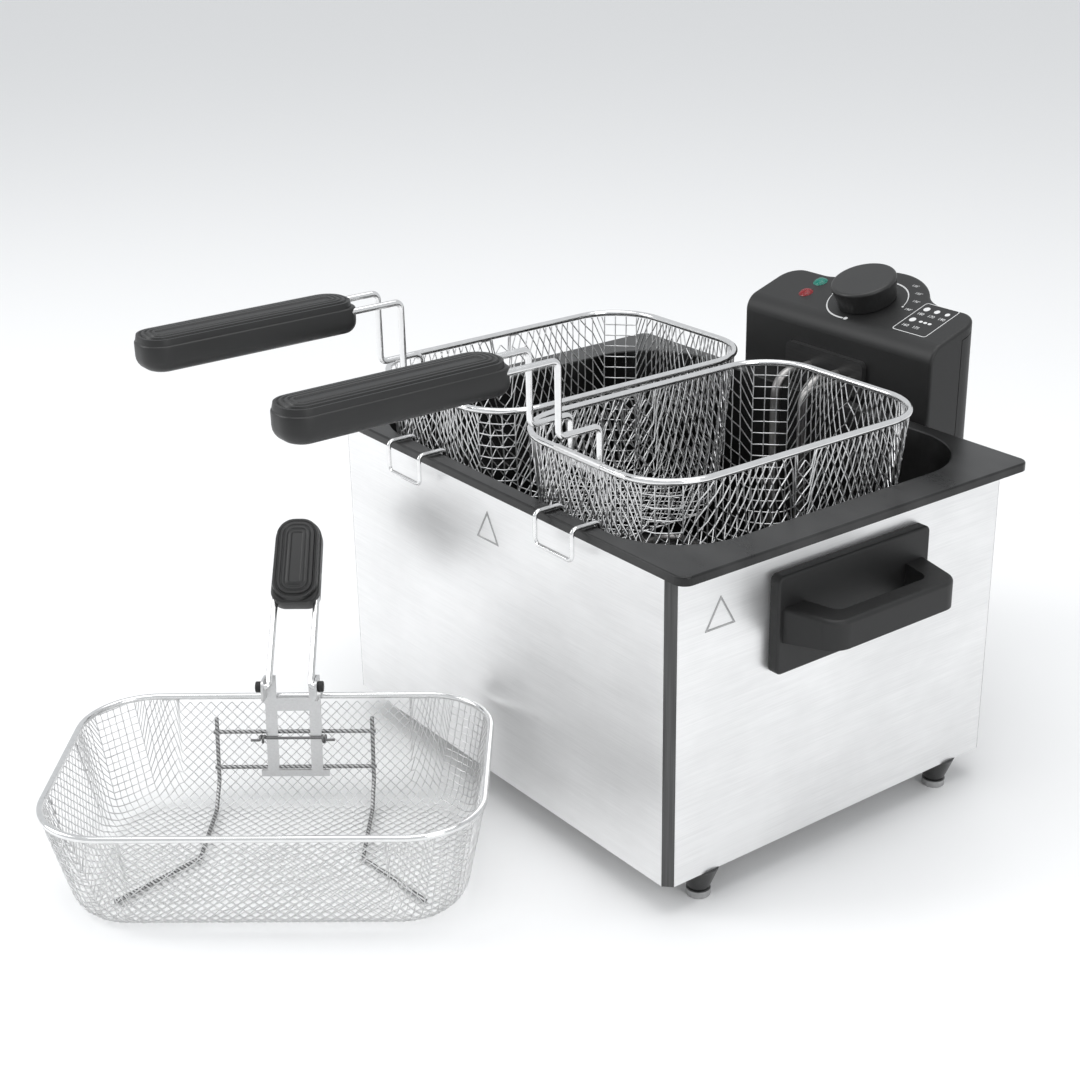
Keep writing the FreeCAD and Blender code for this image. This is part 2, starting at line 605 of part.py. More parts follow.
def unit_plan(shrink, z):
    """Plan outline of the control unit: square front, round back corners, round bulge behind."""
    x = CTRL_W / 2 - shrink
    front = CTRL_FRONT_Y + shrink
    rear = CTRL_REAR_Y - shrink
    neck = CTRL_NECK_R + shrink
    bulge = CTRL_BULGE_R - shrink
    centre = V(0, CTRL_BULGE_Y, z)
    neck_x = math.sqrt((bulge + neck) ** 2 - (rear + neck - CTRL_BULGE_Y) ** 2)
    fl, fr, rr, rl = V(-x, front, z), V(x, front, z), V(x, rear, z), V(-x, rear, z)
    a1, a2, a3 = round_corner(rr, fr, rl, CTRL_BACK_R - shrink)
    n1 = V(neck_x, rear, z)
    n_centre = V(neck_x, rear + neck, z)
    n3 = centre + (n_centre - centre) * (bulge / (bulge + neck))
    n2 = n_centre + ((n1 + n3) / 2 - n_centre).normalize() * neck
    half = [Part.LineSegment(fr, a1).toShape(), arc_through(a1, a2, a3),
            Part.LineSegment(a3, n1).toShape(), arc_through(n1, n2, n3)]
    mirrored = [edge.mirror(V(), V(1, 0, 0)) for edge in half]
    crown = arc_through(n3, V(0, CTRL_BULGE_Y + bulge, z), V(-n3.x, n3.y, z))
    loop = Part.Wire(Part.__sortEdges__(half + [crown] + mirrored + [Part.LineSegment(fl, fr).toShape()]))
    loop.translate(V(CTRL_X, 0, 0))
    return loop


def unit_profile(shrink):
    """Side outline of the control unit: upright front, round nose, panel rising to the back."""
    low = CTRL_BOTTOM_Z + shrink
    front = CTRL_FRONT_Y + shrink
    radius = CTRL_NOSE_R - shrink
    far = CTRL_BULGE_Y + 2 * CTRL_BULGE_R
    edge = panel_point(0, front, -shrink)
    edge = edge + V(0, front - edge.y, (front - edge.y) * math.tan(SLOPE))
    back = edge + V(0, far - front, (far - front) * math.tan(SLOPE))
    bend = bent_path([V(0, front, low), edge, back], radius)
    rest = Part.makePolygon([back, V(0, far, low), V(0, front, low)])
    return Part.Wire(bend.Edges + rest.Edges)


def unit_blank(shrink):
    """Solid of the control unit, every outside face moved in by `shrink`."""
    low = CTRL_BOTTOM_Z + shrink
    upright = Part.Face(unit_plan(shrink, low)).extrude(V(0, 0, 2 * CTRL_H))
    side = Part.Face(unit_profile(shrink)).extrude(V(CTRL_W, 0, 0))
    side.translate(V(CTRL_X - CTRL_W / 2, 0, 0))
    return upright.common(side)


def unit_outside():
    """Outside of the control unit with its panel and front edges softened."""
    solid = unit_blank(0.0)

    def on_rim(p):
        panel = panel_point(p.x, p.y)
        on_side = abs(abs(p.x - CTRL_X) - CTRL_W / 2) < 0.01
        on_panel_edge = abs(p.z - panel.z) < 0.01 and p.y > CTRL_FRONT_Y + CTRL_NOSE_R
        on_front = p.y < CTRL_FRONT_Y + CTRL_NOSE_R and on_side and p.z > CTRL_BOTTOM_Z + 1
        return on_front or on_panel_edge

    return rounded_at(solid, CTRL_RIM_R, on_rim)


def rear_cover_zone(clear):
    """Space behind the seam and under the cap, grown forwards and upwards by `clear`."""
    y0 = CTRL_SEAM_Y - clear
    a = panel_point(0, y0, -CTRL_CAP_H)
    b = panel_point(0, y0 + 2 * CTRL_BULGE_R, -CTRL_CAP_H)
    up = V(0, 0, clear)
    face = Part.makePolygon([V(0, y0, 0), a + up, b + up, V(0, b.y, 0), V(0, y0, 0)])
    zone = Part.Face(face).extrude(V(2 * CTRL_W, 0, 0))
    zone.translate(V(-CTRL_W, 0, 0))
    return zone


def control_shells():
    """Front shell with the panel, and the rear cover under its cap."""
    shell = unit_outside().cut(unit_blank(CTRL_WALL))
    front = shell.cut(rear_cover_zone(CTRL_SEAM))
    rear = shell.common(rear_cover_zone(0.0))
    holes = ((KNOB_XY, SHAFT_R + SHAFT_HOLE), (GREEN_XY, LENS_STEM_R), (RED_XY, LENS_STEM_R))
    for (x, y), radius in holes:
        front = front.cut(rod(panel_point(x, y, -2 * CTRL_WALL), panel_point(x, y, CTRL_WALL), radius))
    through = V(0, 2 * CTRL_WALL, 0)
    rear = rear.cut(rod(RESET_AT - through, RESET_AT + through, RESET_R + RESET_CLEAR))
    rear = rear.cut(rod(GLAND_AT - through, GLAND_AT + through, GLAND_R))
    return front, rear


def on_panel(shape, place):
    """Move a shape modelled on the XY plane onto the sloping panel."""
    shape.rotate(V(), V(1, 0, 0), CTRL_SLOPE)
    shape.translate(panel_point(*place))
    return shape


def knob():
    """Round knob that narrows to its foot, with a small pointer at the back."""
    body = Part.makeCone(KNOB_FOOT_R, KNOB_R, KNOB_H - KNOB_LIFT, V(0, 0, KNOB_LIFT))
    body = rounded_at(body, KNOB_EDGE, lambda p: p.z > KNOB_H - 0.1)
    high = KNOB_H - KNOB_EDGE - POINTER_R / 2
    at = V(0, KNOB_R - POINTER_R, high)
    pointer = Part.makeCone(POINTER_R, POINTER_TIP_R, POINTER_L, at, V(0, 1, 0))
    socket = Part.makeCylinder(SHAFT_R + SHAFT_CLEAR, KNOB_H - KNOB_ROOF)
    return on_panel(body.fuse(pointer).removeSplitter().cut(socket), KNOB_XY)


def thermostat():
    """Round thermostat under the panel with its shaft up into the knob."""
    low = -CTRL_WALL - BRIDGE_T
    can = Part.makeCylinder(THERMOSTAT_R, THERMOSTAT_H, V(0, 0, low - THERMOSTAT_H))
    bridge = block(V(-BRIDGE_W / 2, -BRIDGE_D / 2, low), V(BRIDGE_W / 2, BRIDGE_D / 2, -CTRL_WALL))
    shaft = Part.makeCylinder(SHAFT_R, KNOB_H - KNOB_ROOF - 1.0 - low, V(0, 0, low))
    return on_panel(can.fuse(bridge).fuse(shaft).removeSplitter(), KNOB_XY)


def lens(place):
    """Domed round indicator lens with a stem through the panel."""
    stem = Part.makeCylinder(LENS_STEM_R, LENS_STEM_L, V(0, 0, -LENS_STEM_L))
    dome = Part.makeSphere(LENS_DOME_R, V(0, 0, -LENS_DOME_DOWN))
    dome = dome.common(Part.makeCylinder(LENS_R, 2 * LENS_R))
    return on_panel(stem.fuse(dome).removeSplitter(), place)


def reset_button():
    """Push button of the over-temperature cut-out, in the rear cover."""
    button = rod(RESET_AT - V(0, RESET_L, 0), RESET_AT + V(0, RESET_TRAVEL, 0), RESET_R)
    return rounded_at(button, RESET_EDGE, lambda p: p.y > RESET_AT.y + RESET_TRAVEL - 0.1)


def cable_gland():
    """Plain gland in the rear cover where the supply lead would enter."""
    end = GLAND_AT + V(0, GLAND_L, 0)
    tail = GLAND_AT - V(0, GLAND_TAIL, 0)
    collar = rod(GLAND_AT, end, GLAND_R + GLAND_COLLAR)
    collar = rounded_at(collar, GLAND_EDGE, lambda p: p.y > end.y - 0.1)
    return collar.fuse(rod(tail, GLAND_AT, GLAND_R)).removeSplitter().cut(rod(tail, end, GLAND_BORE_R))


def terminal_block():
    """Ceramic terminal block inside the unit, behind the element's head plate."""
    low = V(CTRL_X + TERMINAL_X, CTRL_FRONT_Y + CTRL_WALL, HEAD_TUBE_Z - TERMINAL_H / 2)
    return block(low, low + V(TERMINAL_W, TERMINAL_D, TERMINAL_H))


def element_head():
    """Plate on the unit's front that carries the two element legs over the pot's rim."""
    half = HEAD_PLATE_W / 2
    top = RIM_TOP + HEAD_PLATE_UP
    front = CTRL_FRONT_Y - HEAD_PLATE_T
    low = V(LEG_MID_X - half, front, RIM_TOP + HEAD_PLATE_GAP)
    plate = block(low, V(LEG_MID_X + half, CTRL_FRONT_Y, top))
    plate = rounded_at(plate, HEAD_PLATE_CORNER, lambda p: abs(p.y - front - HEAD_PLATE_T / 2) < 0.1
                       and p.z > RIM_TOP + HEAD_PLATE_UP / 2)
    for x, radius in ((LEGS_X[0], TUBE_R), (LEGS_X[1], TUBE_R), (PROBE_X, PROBE_R)):
        plate = plate.cut(rod(V(x, front, HEAD_TUBE_Z), V(x, CTRL_FRONT_Y, HEAD_TUBE_Z), radius))
    return plate


def heating_element():
    """One tube: down from the head, along the back, and forward and back in an M."""
    z = ELEMENT_Z
    outer = POT_W / 2 - ELEMENT_IN_X
    inner = ELEMENT_INNER_X
    near = -POT_D / 2 + ELEMENT_IN_Y
    notch = LEG_Y - ELEMENT_NOTCH
    left, right = LEGS_X
    points = [V(left, CTRL_FRONT_Y, HEAD_TUBE_Z), V(left, LEG_Y, HEAD_TUBE_Z), V(left, LEG_Y, z),
              V(-outer, LEG_Y, z), V(-outer, near, z), V(-inner, near, z), V(-inner, notch, z),
              V(inner, notch, z), V(inner, near, z), V(outer, near, z), V(outer, LEG_Y, z),
              V(right, LEG_Y, z), V(right, LEG_Y, HEAD_TUBE_Z), V(right, CTRL_FRONT_Y, HEAD_TUBE_Z)]
    return bent_wire(points, LEG_BEND, TUBE_R)


def thermostat_probe():
    """Capillary and sensing bulb of the thermostat, down beside the element's legs."""
    low = ELEMENT_Z + BULB_UP
    points = [V(PROBE_X, CTRL_FRONT_Y, HEAD_TUBE_Z), V(PROBE_X, BULB_Y, HEAD_TUBE_Z),
              V(PROBE_X, BULB_Y, low + BULB_L - PROBE_R)]
    bulb = Part.makeCylinder(BULB_R, BULB_L, V(PROBE_X, BULB_Y, low))
    bulb = rounded_at(bulb, BULB_TIP_R, lambda p: p.z < low + 0.1)
    return bent_wire(points, PROBE_BEND, PROBE_R).fuse(bulb).removeSplitter()


# ---- baskets -----------------------------------------------------------------------------
def net_top(height):
    """Height of the net's edge, under the rim wire."""
    return height - 2 * RIM_WIRE_R


def net_tub(width, depth, height, taper, corner, floor_r):
    """Closed-wall tub that stands for the woven net, open at the top, floor at z = 0."""
    edge = RIM_WIRE_R - NET_T / 2

    def tapered(inset, floor):
        cut = edge + inset
        low = outline(width - 2 * (taper + cut), depth - 2 * (taper + cut), corner - taper / 2 - cut, floor)
        high = outline(width - 2 * cut, depth - 2 * cut, corner - cut, net_top(height))
        solid = Part.makeLoft([low, high], True, True)
        return rounded_at(solid, floor_r - inset, lambda p: p.z < floor + 0.01)

    return tapered(0.0, 0.0).cut(tapered(NET_T, NET_T))


def rim_wire(width, depth, corner, z):
    """Closed ring of round wire; `width` and `depth` are over its outside."""
    radius = RIM_WIRE_R
    return wire_along(outline(width - 2 * radius, depth - 2 * radius, corner - radius, z), radius)


def wall_reach(depth, taper, height, z):
    """Half depth of a net tub's outside at height z above its floor."""
    return depth / 2 - RIM_WIRE_R + NET_T / 2 - taper * (1 - z / net_top(height))


def small_net():
    return net_tub(SMALL_W, SMALL_D, SMALL_H, SMALL_TAPER, SMALL_CORNER, SMALL_FLOOR_R)


def small_hook():
    """Bent wire that reaches forward from the net, over the pot's rim and down outside it."""
    over = RIM_TOP + BODY_GAP + HOOK_WIRE_R - SMALL_FLOOR_Z
    outside = -(LIP_Y + BODY_GAP + HOOK_WIRE_R + HOOK_OUT) - SMALL_Y
    inner = -wall_reach(SMALL_D, SMALL_TAPER, SMALL_H, over) - HOOK_WIRE_R
    half = HOOK_W / 2
    low = over - HOOK_DROP
    tail = over - HOOK_TAIL
    points = [V(-half, inner, tail), V(-half, inner, over), V(-half, outside, over),
              V(-half, outside, low), V(half, outside, low), V(half, outside, over),
              V(half, inner, over), V(half, inner, tail)]
    return bent_wire(points, HOOK_BEND, HOOK_WIRE_R)


def small_handle_wire():
    """One wire: up from the clip, forward, up, and forward into the grip, and back."""
    half = HANDLE_GAP / 2
    end = SMALL_GRIP_Y - WIRE_IN_GRIP
    step = SMALL_RIM + HANDLE_STEP_Z
    top = SMALL_RIM + HANDLE_TOP_Z
    seat = SMALL_RIM - CLIP_H + CLIP_FLOOR + BODY_GAP
    side = [V(0, HANDLE_IN_Y, seat), V(0, HANDLE_IN_Y, step), V(0, HANDLE_OUT_Y, step),
            V(0, HANDLE_OUT_Y, top), V(0, end, top)]
    left = [p - V(half, 0, 0) for p in side]
    right = [p + V(half, 0, 0) for p in reversed(side)]
    return bent_wire(left + right, HANDLE_BEND, WIRE_R)


def small_clip():
    """Block welded inside the front rim, with two sockets for the handle's wire ends."""
    low = V(-CLIP_W / 2, CLIP_Y, SMALL_RIM - CLIP_H)
    clip = block(low, low + V(CLIP_W, CLIP_T, CLIP_H))
    clip = rounded_at(clip, CLIP_EDGE, lambda p: abs(p.y - CLIP_Y - CLIP_T / 2) < 0.1)
    for sx in (-1, 1):
        at = V(sx * HANDLE_GAP / 2, HANDLE_IN_Y, low.z + CLIP_FLOOR)
        clip = clip.cut(Part.makeCylinder(WIRE_R + SOCKET_CLEAR, CLIP_H, at))
    return clip


def hand_grip(width, thick, length):
    """Moulded grip along -Y from the origin, blunt round tip, softly rounded section."""
    body = block(V(-width / 2, -length, -thick / 2), V(width / 2, 0, thick / 2))
    body = rounded_at(body, width * HAND_TIP, lambda p: p.y < -length + 0.1 and abs(p.z) < 0.1)
    body = rounded_at(body, thick * HAND_ROUND, lambda p: p.y < -0.1 and abs(p.z) > thick / 2 - 0.1)
    return rounded_at(body, HAND_ROOT_R, lambda p: p.y > -0.1)


def small_grip():
    """Grip of a small basket, with a slot for the looped end of the handle wire."""
    top = SMALL_RIM + HANDLE_TOP_Z
    reach = WIRE_R + SOCKET_CLEAR
    wide = HANDLE_GAP / 2 + reach
    grip = hand_grip(SMALL_GRIP_W, SMALL_GRIP_T, SMALL_GRIP_L)
    grip.translate(V(0, SMALL_GRIP_Y, top - SMALL_GRIP_DROP))
    low = V(-wide, SMALL_GRIP_Y - WIRE_IN_GRIP - reach, top - reach)
    return grip.cut(block(low, V(wide, SMALL_GRIP_Y, top + reach)))


def small_baskets():
    """The two small baskets are alike; they hang side by side on the pot's front rim."""
    pieces = {
        "net": small_net(),
        "rim": rim_wire(SMALL_W, SMALL_D, SMALL_CORNER, SMALL_RIM),
        "hook": small_hook(),
        "clip": small_clip(),
        "handle_wire": small_handle_wire(),
        "grip": small_grip(),
    }
    for side, sx in (("left", -1), ("right", 1)):
        for piece, shape in pieces.items():
            placed = shape.copy()
            placed.translate(V(sx * SMALL_X, SMALL_Y, SMALL_FLOOR_Z))
            save("basket_" + side + "_" + piece, placed)


# The large basket is modelled with its long side along X and its handle side at +Y.
def wall_point(x, inward, down):
    """Point beside the large basket's back wall: inwards from it and down it from the rim."""
    y = LARGE_WALL_Y - inward * math.cos(LARGE_SLOPE) - down * math.sin(LARGE_SLOPE)
    z = LARGE_RIM_Z + inward * math.sin(LARGE_SLOPE) - down * math.cos(LARGE_SLOPE)
    return V(x, y, z)


def beside_wall(shape):
    """Move a shape modelled with -Y inwards and the rim at z = 0 against the back wall."""
    shape.rotate(V(), V(1, 0, 0), -math.degrees(LARGE_SLOPE))
    shape.translate(V(0, LARGE_WALL_Y, LARGE_RIM_Z))
    return shape


def support_frame():
    """Welded wire frame: two struts down the wall and out over the floor, two cross wires."""
    floor_z = NET_T + FRAME_WIRE_R + FRAME_FLOOR_GAP
    down_end = (LARGE_RIM_Z - LARGE_FLOOR_R) / math.cos(LARGE_SLOPE)
    foot_y = LARGE_D / 2 - LARGE_TAPER - LARGE_FLOOR_R - 2 * FRAME_WIRE_R
    far_x = LARGE_W / 2 - LARGE_TAPER - FRAME_SPLAY_X
    far_y = -LARGE_D / 2 + LARGE_TAPER + FRAME_SPLAY_Y
    wires = []
    for sx in (-1, 1):
        x = sx * FRAME_HALF_W
        points = [wall_point(x, FRAME_IN, FRAME_TOP_DOWN), wall_point(x, FRAME_IN, down_end),
                  V(x, foot_y, floor_z), V(x, 0, floor_z), V(sx * far_x, far_y, floor_z)]
        wires.append(bent_wire(points, FRAME_BEND, FRAME_WIRE_R))
    reach = FRAME_HALF_W + FRAME_PAST
    for down in (FRAME_CROSS_DOWN, BRACKET_DROP - FRAME_WIRE_R):
        wires.append(rod(wall_point(-reach, FRAME_IN, down), wall_point(reach, FRAME_IN, down), FRAME_WIRE_R))
    return wires[0].multiFuse(wires[1:])


def bracket():
    """Pressed H-shaped plate on the frame with two ears that carry the handle's hinge."""
    half = BRACKET_W / 2
    y0 = -PLATE_IN - BRACKET_T
    y1 = -PLATE_IN
    axis_y = y0 - EAR_REACH
    top = EAR_UP + EAR_EDGE
    sheets = [block(V(-half, y0, -BRACKET_TOP_H), V(half, y1, 0)),
              block(V(-half - BRACKET_FOOT_OVER, y0, -BRACKET_DROP - BRACKET_FOOT_H),
                    V(half + BRACKET_FOOT_OVER, y1, -BRACKET_DROP))]
    strap = block(V(half - STRAP_W, y0, -BRACKET_DROP), V(half, y1, top))
    ear = block(V(half - BRACKET_T, axis_y - EAR_EDGE, EAR_BOTTOM), V(half, y1, top))
    ear = rounded_at(ear, EAR_R, lambda p: p.y < axis_y - EAR_EDGE + 0.1
                     and abs(p.x - half + BRACKET_T / 2) < 0.1)
    for sheet in (strap, ear):
        sheets.append(sheet)
        sheets.append(sheet.mirror(V(), V(1, 0, 0)))
    shape = sheets[0].multiFuse(sheets[1:]).removeSplitter()
    hole = rod(V(-half, axis_y, EAR_UP), V(half, axis_y, EAR_UP), LARGE_WIRE_R + HINGE_CLEAR)
    return beside_wall(shape.cut(hole))


def latch_spring():
    """Straight spring wire across the bracket that steadies the open handle."""
    reach = BRACKET_W / 2 + SPRING_OVER
    inward = PLATE_IN + BRACKET_T + SPRING_R + SPRING_GAP
    return rod(wall_point(-reach, inward, SPRING_DOWN), wall_point(reach, inward, SPRING_DOWN), SPRING_R)


def large_handle():
    """Handle wire and grip, modelled level along +Y from the hinge and then raised."""
    pin = BRACKET_W / 2 + LARGE_PIN_PAST
    side = BRACKET_W / 2 - BRACKET_T - LARGE_WIRE_R - LARGE_WIRE_SIDE
    end = LARGE_WIRE_L + WIRE_IN_GRIP
    points = [V(-pin, 0, 0), V(-side, 0, 0), V(-side, end, 0), V(side, end, 0), V(side, 0, 0), V(pin, 0, 0)]
    wire = bent_wire(points, LARGE_BEND, LARGE_WIRE_R)
    grip = hand_grip(LARGE_GRIP_W, LARGE_GRIP_T, LARGE_GRIP_L)
    grip.rotate(V(), V(0, 0, 1), 180)
    grip.translate(V(0, LARGE_WIRE_L, 0))
    reach = LARGE_WIRE_R + SOCKET_CLEAR
    grip = grip.cut(block(V(-side - reach, LARGE_WIRE_L, -reach), V(side + reach, end + reach, reach)))
    hinge = wall_point(0, PLATE_IN + BRACKET_T + EAR_REACH, -EAR_UP)
    for shape in (wire, grip):
        shape.rotate(V(), V(1, 0, 0), LARGE_RISE)
        shape.translate(hinge)
    return wire, grip


def large_basket():
    """The large basket stands on the table in front of the housing, turned to one side."""
    wire, grip = large_handle()
    pieces = {
        "net": net_tub(LARGE_W, LARGE_D, LARGE_H, LARGE_TAPER, LARGE_CORNER, LARGE_FLOOR_R),
        "rim": rim_wire(LARGE_W, LARGE_D, LARGE_CORNER, LARGE_RIM_Z),
        "frame": support_frame(),
        "bracket": bracket(),
        "spring": latch_spring(),
        "handle_wire": wire,
        "grip": grip,
    }
    for piece, shape in pieces.items():
        shape.rotate(V(), V(0, 0, 1), LARGE_TURN)
        shape.translate(LARGE_AT)
        save("basket_large_" + piece, shape)


# ---- build -------------------------------------------------------------------------------
panels()
corner_posts()
save("base_plate", base_plate())
for corner_name, side_x, side_y in corner_signs():
    save("foot_" + corner_name, foot(side_x, side_y))
save("foot_screws", foot_screws())
right_handle = side_handle()
save("side_handle_right", right_handle)
save("side_handle_left", right_handle.mirror(V(), V(1, 0, 0)))
save("handle_screws", handle_screws())
save("rear_guide", rear_guide())

save("pot", pot())

front_shell, rear_shell = control_shells()
save("control_front", front_shell)
save("control_rear", rear_shell)
save("guide_shoe", guide_shoe())
save("knob", knob())
save("thermostat", thermostat())
save("lens_green", lens(GREEN_XY))
save("lens_red", lens(RED_XY))
save("reset_button", reset_button())
save("cable_gland", cable_gland())
save("terminal_block", terminal_block())
save("element_head", element_head())
save("heating_element", heating_element())
save("thermostat_probe", thermostat_probe())

small_baskets()
large_basket()
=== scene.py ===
import math

import bmesh
import bpy
from mathutils import Matrix, Vector


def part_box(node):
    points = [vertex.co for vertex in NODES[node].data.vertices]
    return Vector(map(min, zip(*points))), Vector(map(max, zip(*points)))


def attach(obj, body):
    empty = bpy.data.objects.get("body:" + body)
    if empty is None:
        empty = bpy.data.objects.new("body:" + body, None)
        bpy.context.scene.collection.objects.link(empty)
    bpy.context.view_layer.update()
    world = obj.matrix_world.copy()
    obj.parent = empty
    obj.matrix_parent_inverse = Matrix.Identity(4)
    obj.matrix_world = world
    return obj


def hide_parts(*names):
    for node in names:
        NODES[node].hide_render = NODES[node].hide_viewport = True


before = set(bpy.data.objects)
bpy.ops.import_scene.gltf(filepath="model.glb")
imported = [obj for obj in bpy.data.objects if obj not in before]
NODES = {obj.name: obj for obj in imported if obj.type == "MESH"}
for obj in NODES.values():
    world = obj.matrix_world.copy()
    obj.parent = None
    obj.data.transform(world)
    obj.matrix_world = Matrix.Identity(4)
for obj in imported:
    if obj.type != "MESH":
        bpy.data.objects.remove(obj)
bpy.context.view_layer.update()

# ---- Housing panels ----
# Four flat sheets of stainless steel, ground with a fine level grain and left bright. They
# stand between the corner posts, and the front and right ones have a small pressed triangle.
MM = 0.001
MIDDLE_Y = (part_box("panel_front")[0].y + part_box("panel_rear")[1].y) / 2
HOUSING = Matrix.Translation((0, MIDDLE_Y, 0)) @ Matrix.Scale(MM, 4)


class Level:
    """One value that changes over a surface; Python's operators add the Math nodes."""

    def __init__(self, finish, socket):
        self.finish = finish
        self.socket = socket

    def worked(self, operation, first, second=0.0):
        return self.finish.node("Math", {"operation": operation}, {0: first, 1: second})

    def __add__(self, other):
        return self.worked("ADD", self, other)

    def __radd__(self, other):
        return self.worked("ADD", other, self)

    def __sub__(self, other):
        return self.worked("SUBTRACT", self, other)

    def __rsub__(self, other):
        return self.worked("SUBTRACT", other, self)

    def __mul__(self, other):
        return self.worked("MULTIPLY", self, other)

    def __rmul__(self, other):
        return self.worked("MULTIPLY", other, self)

    def wave(self):
        return self.worked("SINE", self)

    def ramp(self, low, high):
        """0 below low, 1 above high, smooth between."""
        return self.finish.node("MapRange", {"interpolation_type": "SMOOTHSTEP"},
                                {"Value": self, "From Min": low, "From Max": high})


class Finish:
    """A material of one shader; what is the same all over is set on the shader itself."""

    def __init__(self, name, **constants):
        self.material = bpy.data.materials.new(name)
        self.material.use_nodes = True
        self.tree = self.material.node_tree
        self.shader = self.tree.nodes["Principled BSDF"]
        for socket, value in constants.items():
            self.shader.inputs[socket.replace("_", " ")].default_value = value

    def node(self, kind, settings, inputs, output=0):
        """Adds one node: settings first, then a value or a link for each of its sockets."""
        made = self.tree.nodes.new("ShaderNode" + kind)
        for name, value in settings.items():
            setattr(made, name, value)
        for name, value in inputs.items():
            self.feed(made.inputs[name], value)
        return Level(self, made.outputs[output])

    def feed(self, socket, value):
        if isinstance(value, Level):
            self.tree.links.new(value.socket, socket)
        else:
            socket.default_value = value

    def spread(self, scale, turn=(0, 0, 0)):
        """Object coordinates, turned, and then stretched along each axis."""
        coordinates = self.node("TexCoord", {}, {}, "Object")
        placed = self.node("Mapping", {"vector_type": "TEXTURE"},
                           {"Vector": coordinates, "Rotation": turn})
        return self.node("Mapping", {"vector_type": "POINT"}, {"Vector": placed, "Scale": scale})

    def along(self, vector, axis):
        return self.node("SeparateXYZ", {}, {"Vector": vector}, axis)

    def noise(self, vector, scale=1.0, detail=3.0, roughness=0.5):
        return self.node("TexNoise", {}, {"Vector": vector, "Scale": scale, "Detail": detail,
                                          "Roughness": roughness})

    def blend(self, share, first, second):
        """Mixes two colours or colour links."""
        settings = {"data_type": "RGBA"}
        return self.node("Mix", settings, {0: share, 6: first, 7: second}, 2)

    def show(self, colour=None, roughness=None, height=None, depth=0.0001, strength=0.5):
        """Feeds the shader's changing sockets."""
        if colour is not None:
            self.feed(self.shader.inputs["Base Color"], colour)
        if roughness is not None:
            self.feed(self.shader.inputs["Roughness"], roughness)
        if height is not None:
            raised = self.node("Bump", {}, {"Strength": strength, "Distance": depth, "Height": height})
            self.feed(self.shader.inputs["Normal"], raised)


def grey(value):
    return (value, value, value, 1.0)


def dress(finish, *names):
    """Gives CAD nodes their finish."""
    for name in names:
        for held in NODES[name].material_slots:
            held.material = finish.material


def solid(shape, name, place, sharp=40.0):
    """Mesh of a finished shape, moved into its place, smooth but for its sharp edges."""
    shape.transform(place)
    for face in shape.faces:
        face.smooth = True
    mesh = bpy.data.meshes.new(name)
    shape.to_mesh(mesh)
    shape.free()
    mesh.set_sharp_from_angle(angle=math.radians(sharp))
    return mesh


def fit(mesh, finish, body, slot, *stands_for):
    """Turns a mesh into a piece of the fryer that moves with one body."""
    mesh.materials.clear()
    mesh.materials.append(finish.material)
    made = bpy.data.objects.new(mesh.name, mesh)
    bpy.context.scene.collection.objects.link(made)
    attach(made, body)
    if stands_for:
        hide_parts(*stands_for)
    return made


brushed = Finish("brushed_steel", Metallic=1.0)
fine_grain = brushed.noise(brushed.spread((30, 30, 2600)), 1.0, 2.0)
broad_grain = brushed.noise(brushed.spread((9, 9, 300)), 1.0, 3.0)
cloudy = brushed.noise(brushed.spread((11, 11, 16)), 1.0, 4.0, 0.6)
grain = fine_grain * 0.7 + broad_grain * 0.3
tone = grain * 0.45 + cloudy * 0.55
brushed.show(colour=brushed.blend(tone.ramp(0.3, 0.7), grey(0.76), grey(0.90)),
             roughness=0.26 + grain * 0.10 + cloudy * 0.12, height=grain, depth=0.00003)
dress(brushed, "panel_front", "panel_rear", "panel_left", "panel_right")


def pressed_triangle(size, line, rise):
    """Raised outline of a triangle in the XY plane, with a soft edge."""
    shape = bmesh.new()
    bmesh.ops.create_circle(shape, cap_ends=True, segments=3, radius=size)
    field = shape.faces[:]
    outline = bmesh.ops.inset_region(shape, faces=field, thickness=line, use_even_offset=True,
                                     use_boundary=True)["faces"]
    bmesh.ops.delete(shape, geom=field, context="FACES_ONLY")
    walls = bmesh.ops.extrude_face_region(shape, geom=outline)["geom"]
    lifted = [item for item in walls if isinstance(item, bmesh.types.BMVert)]
    bmesh.ops.translate(shape, vec=(0, 0, rise), verts=lifted)
    rims = [edge for edge in shape.edges if all(corner.co.z > rise / 2 for corner in edge.verts)]
    bmesh.ops.bevel(shape, geom=rims, offset=rise * 0.6, offset_type="OFFSET", segments=2, profile=0.5,
                    affect="EDGES", material=-1, clamp_overlap=True)
    bmesh.ops.recalc_face_normals(shape, faces=shape.faces[:])
    return shape


# The pressed triangle is the panel's own steel; its darker grey is painted shade along the pressed line.
pressed = Finish("pressed_line_painted_shade", Metallic=1.0, Roughness=0.35)
pressed_shade_tone = pressed.noise(pressed.spread((500, 500, 500)))
pressed.show(colour=pressed.blend(pressed_shade_tone, grey(0.34), grey(0.46)))
FRONT_MARK = (HOUSING @ Matrix.Translation((-2.4, -130, 182))
              @ Matrix.Rotation(math.radians(90), 4, "X"))
RIGHT_MARK = (HOUSING @ Matrix.Translation((160, -95, 176)) @ Matrix.Rotation(math.radians(90), 4, "Z")
              @ Matrix.Rotation(math.radians(90), 4, "X"))
for mark_name, mark_place in (("mark_front", FRONT_MARK), ("mark_right", RIGHT_MARK)):
    fit(solid(pressed_triangle(12.5, 1.1, 0.35), mark_name, mark_place, 60.0), pressed, "housing",
        "brushed_panel")
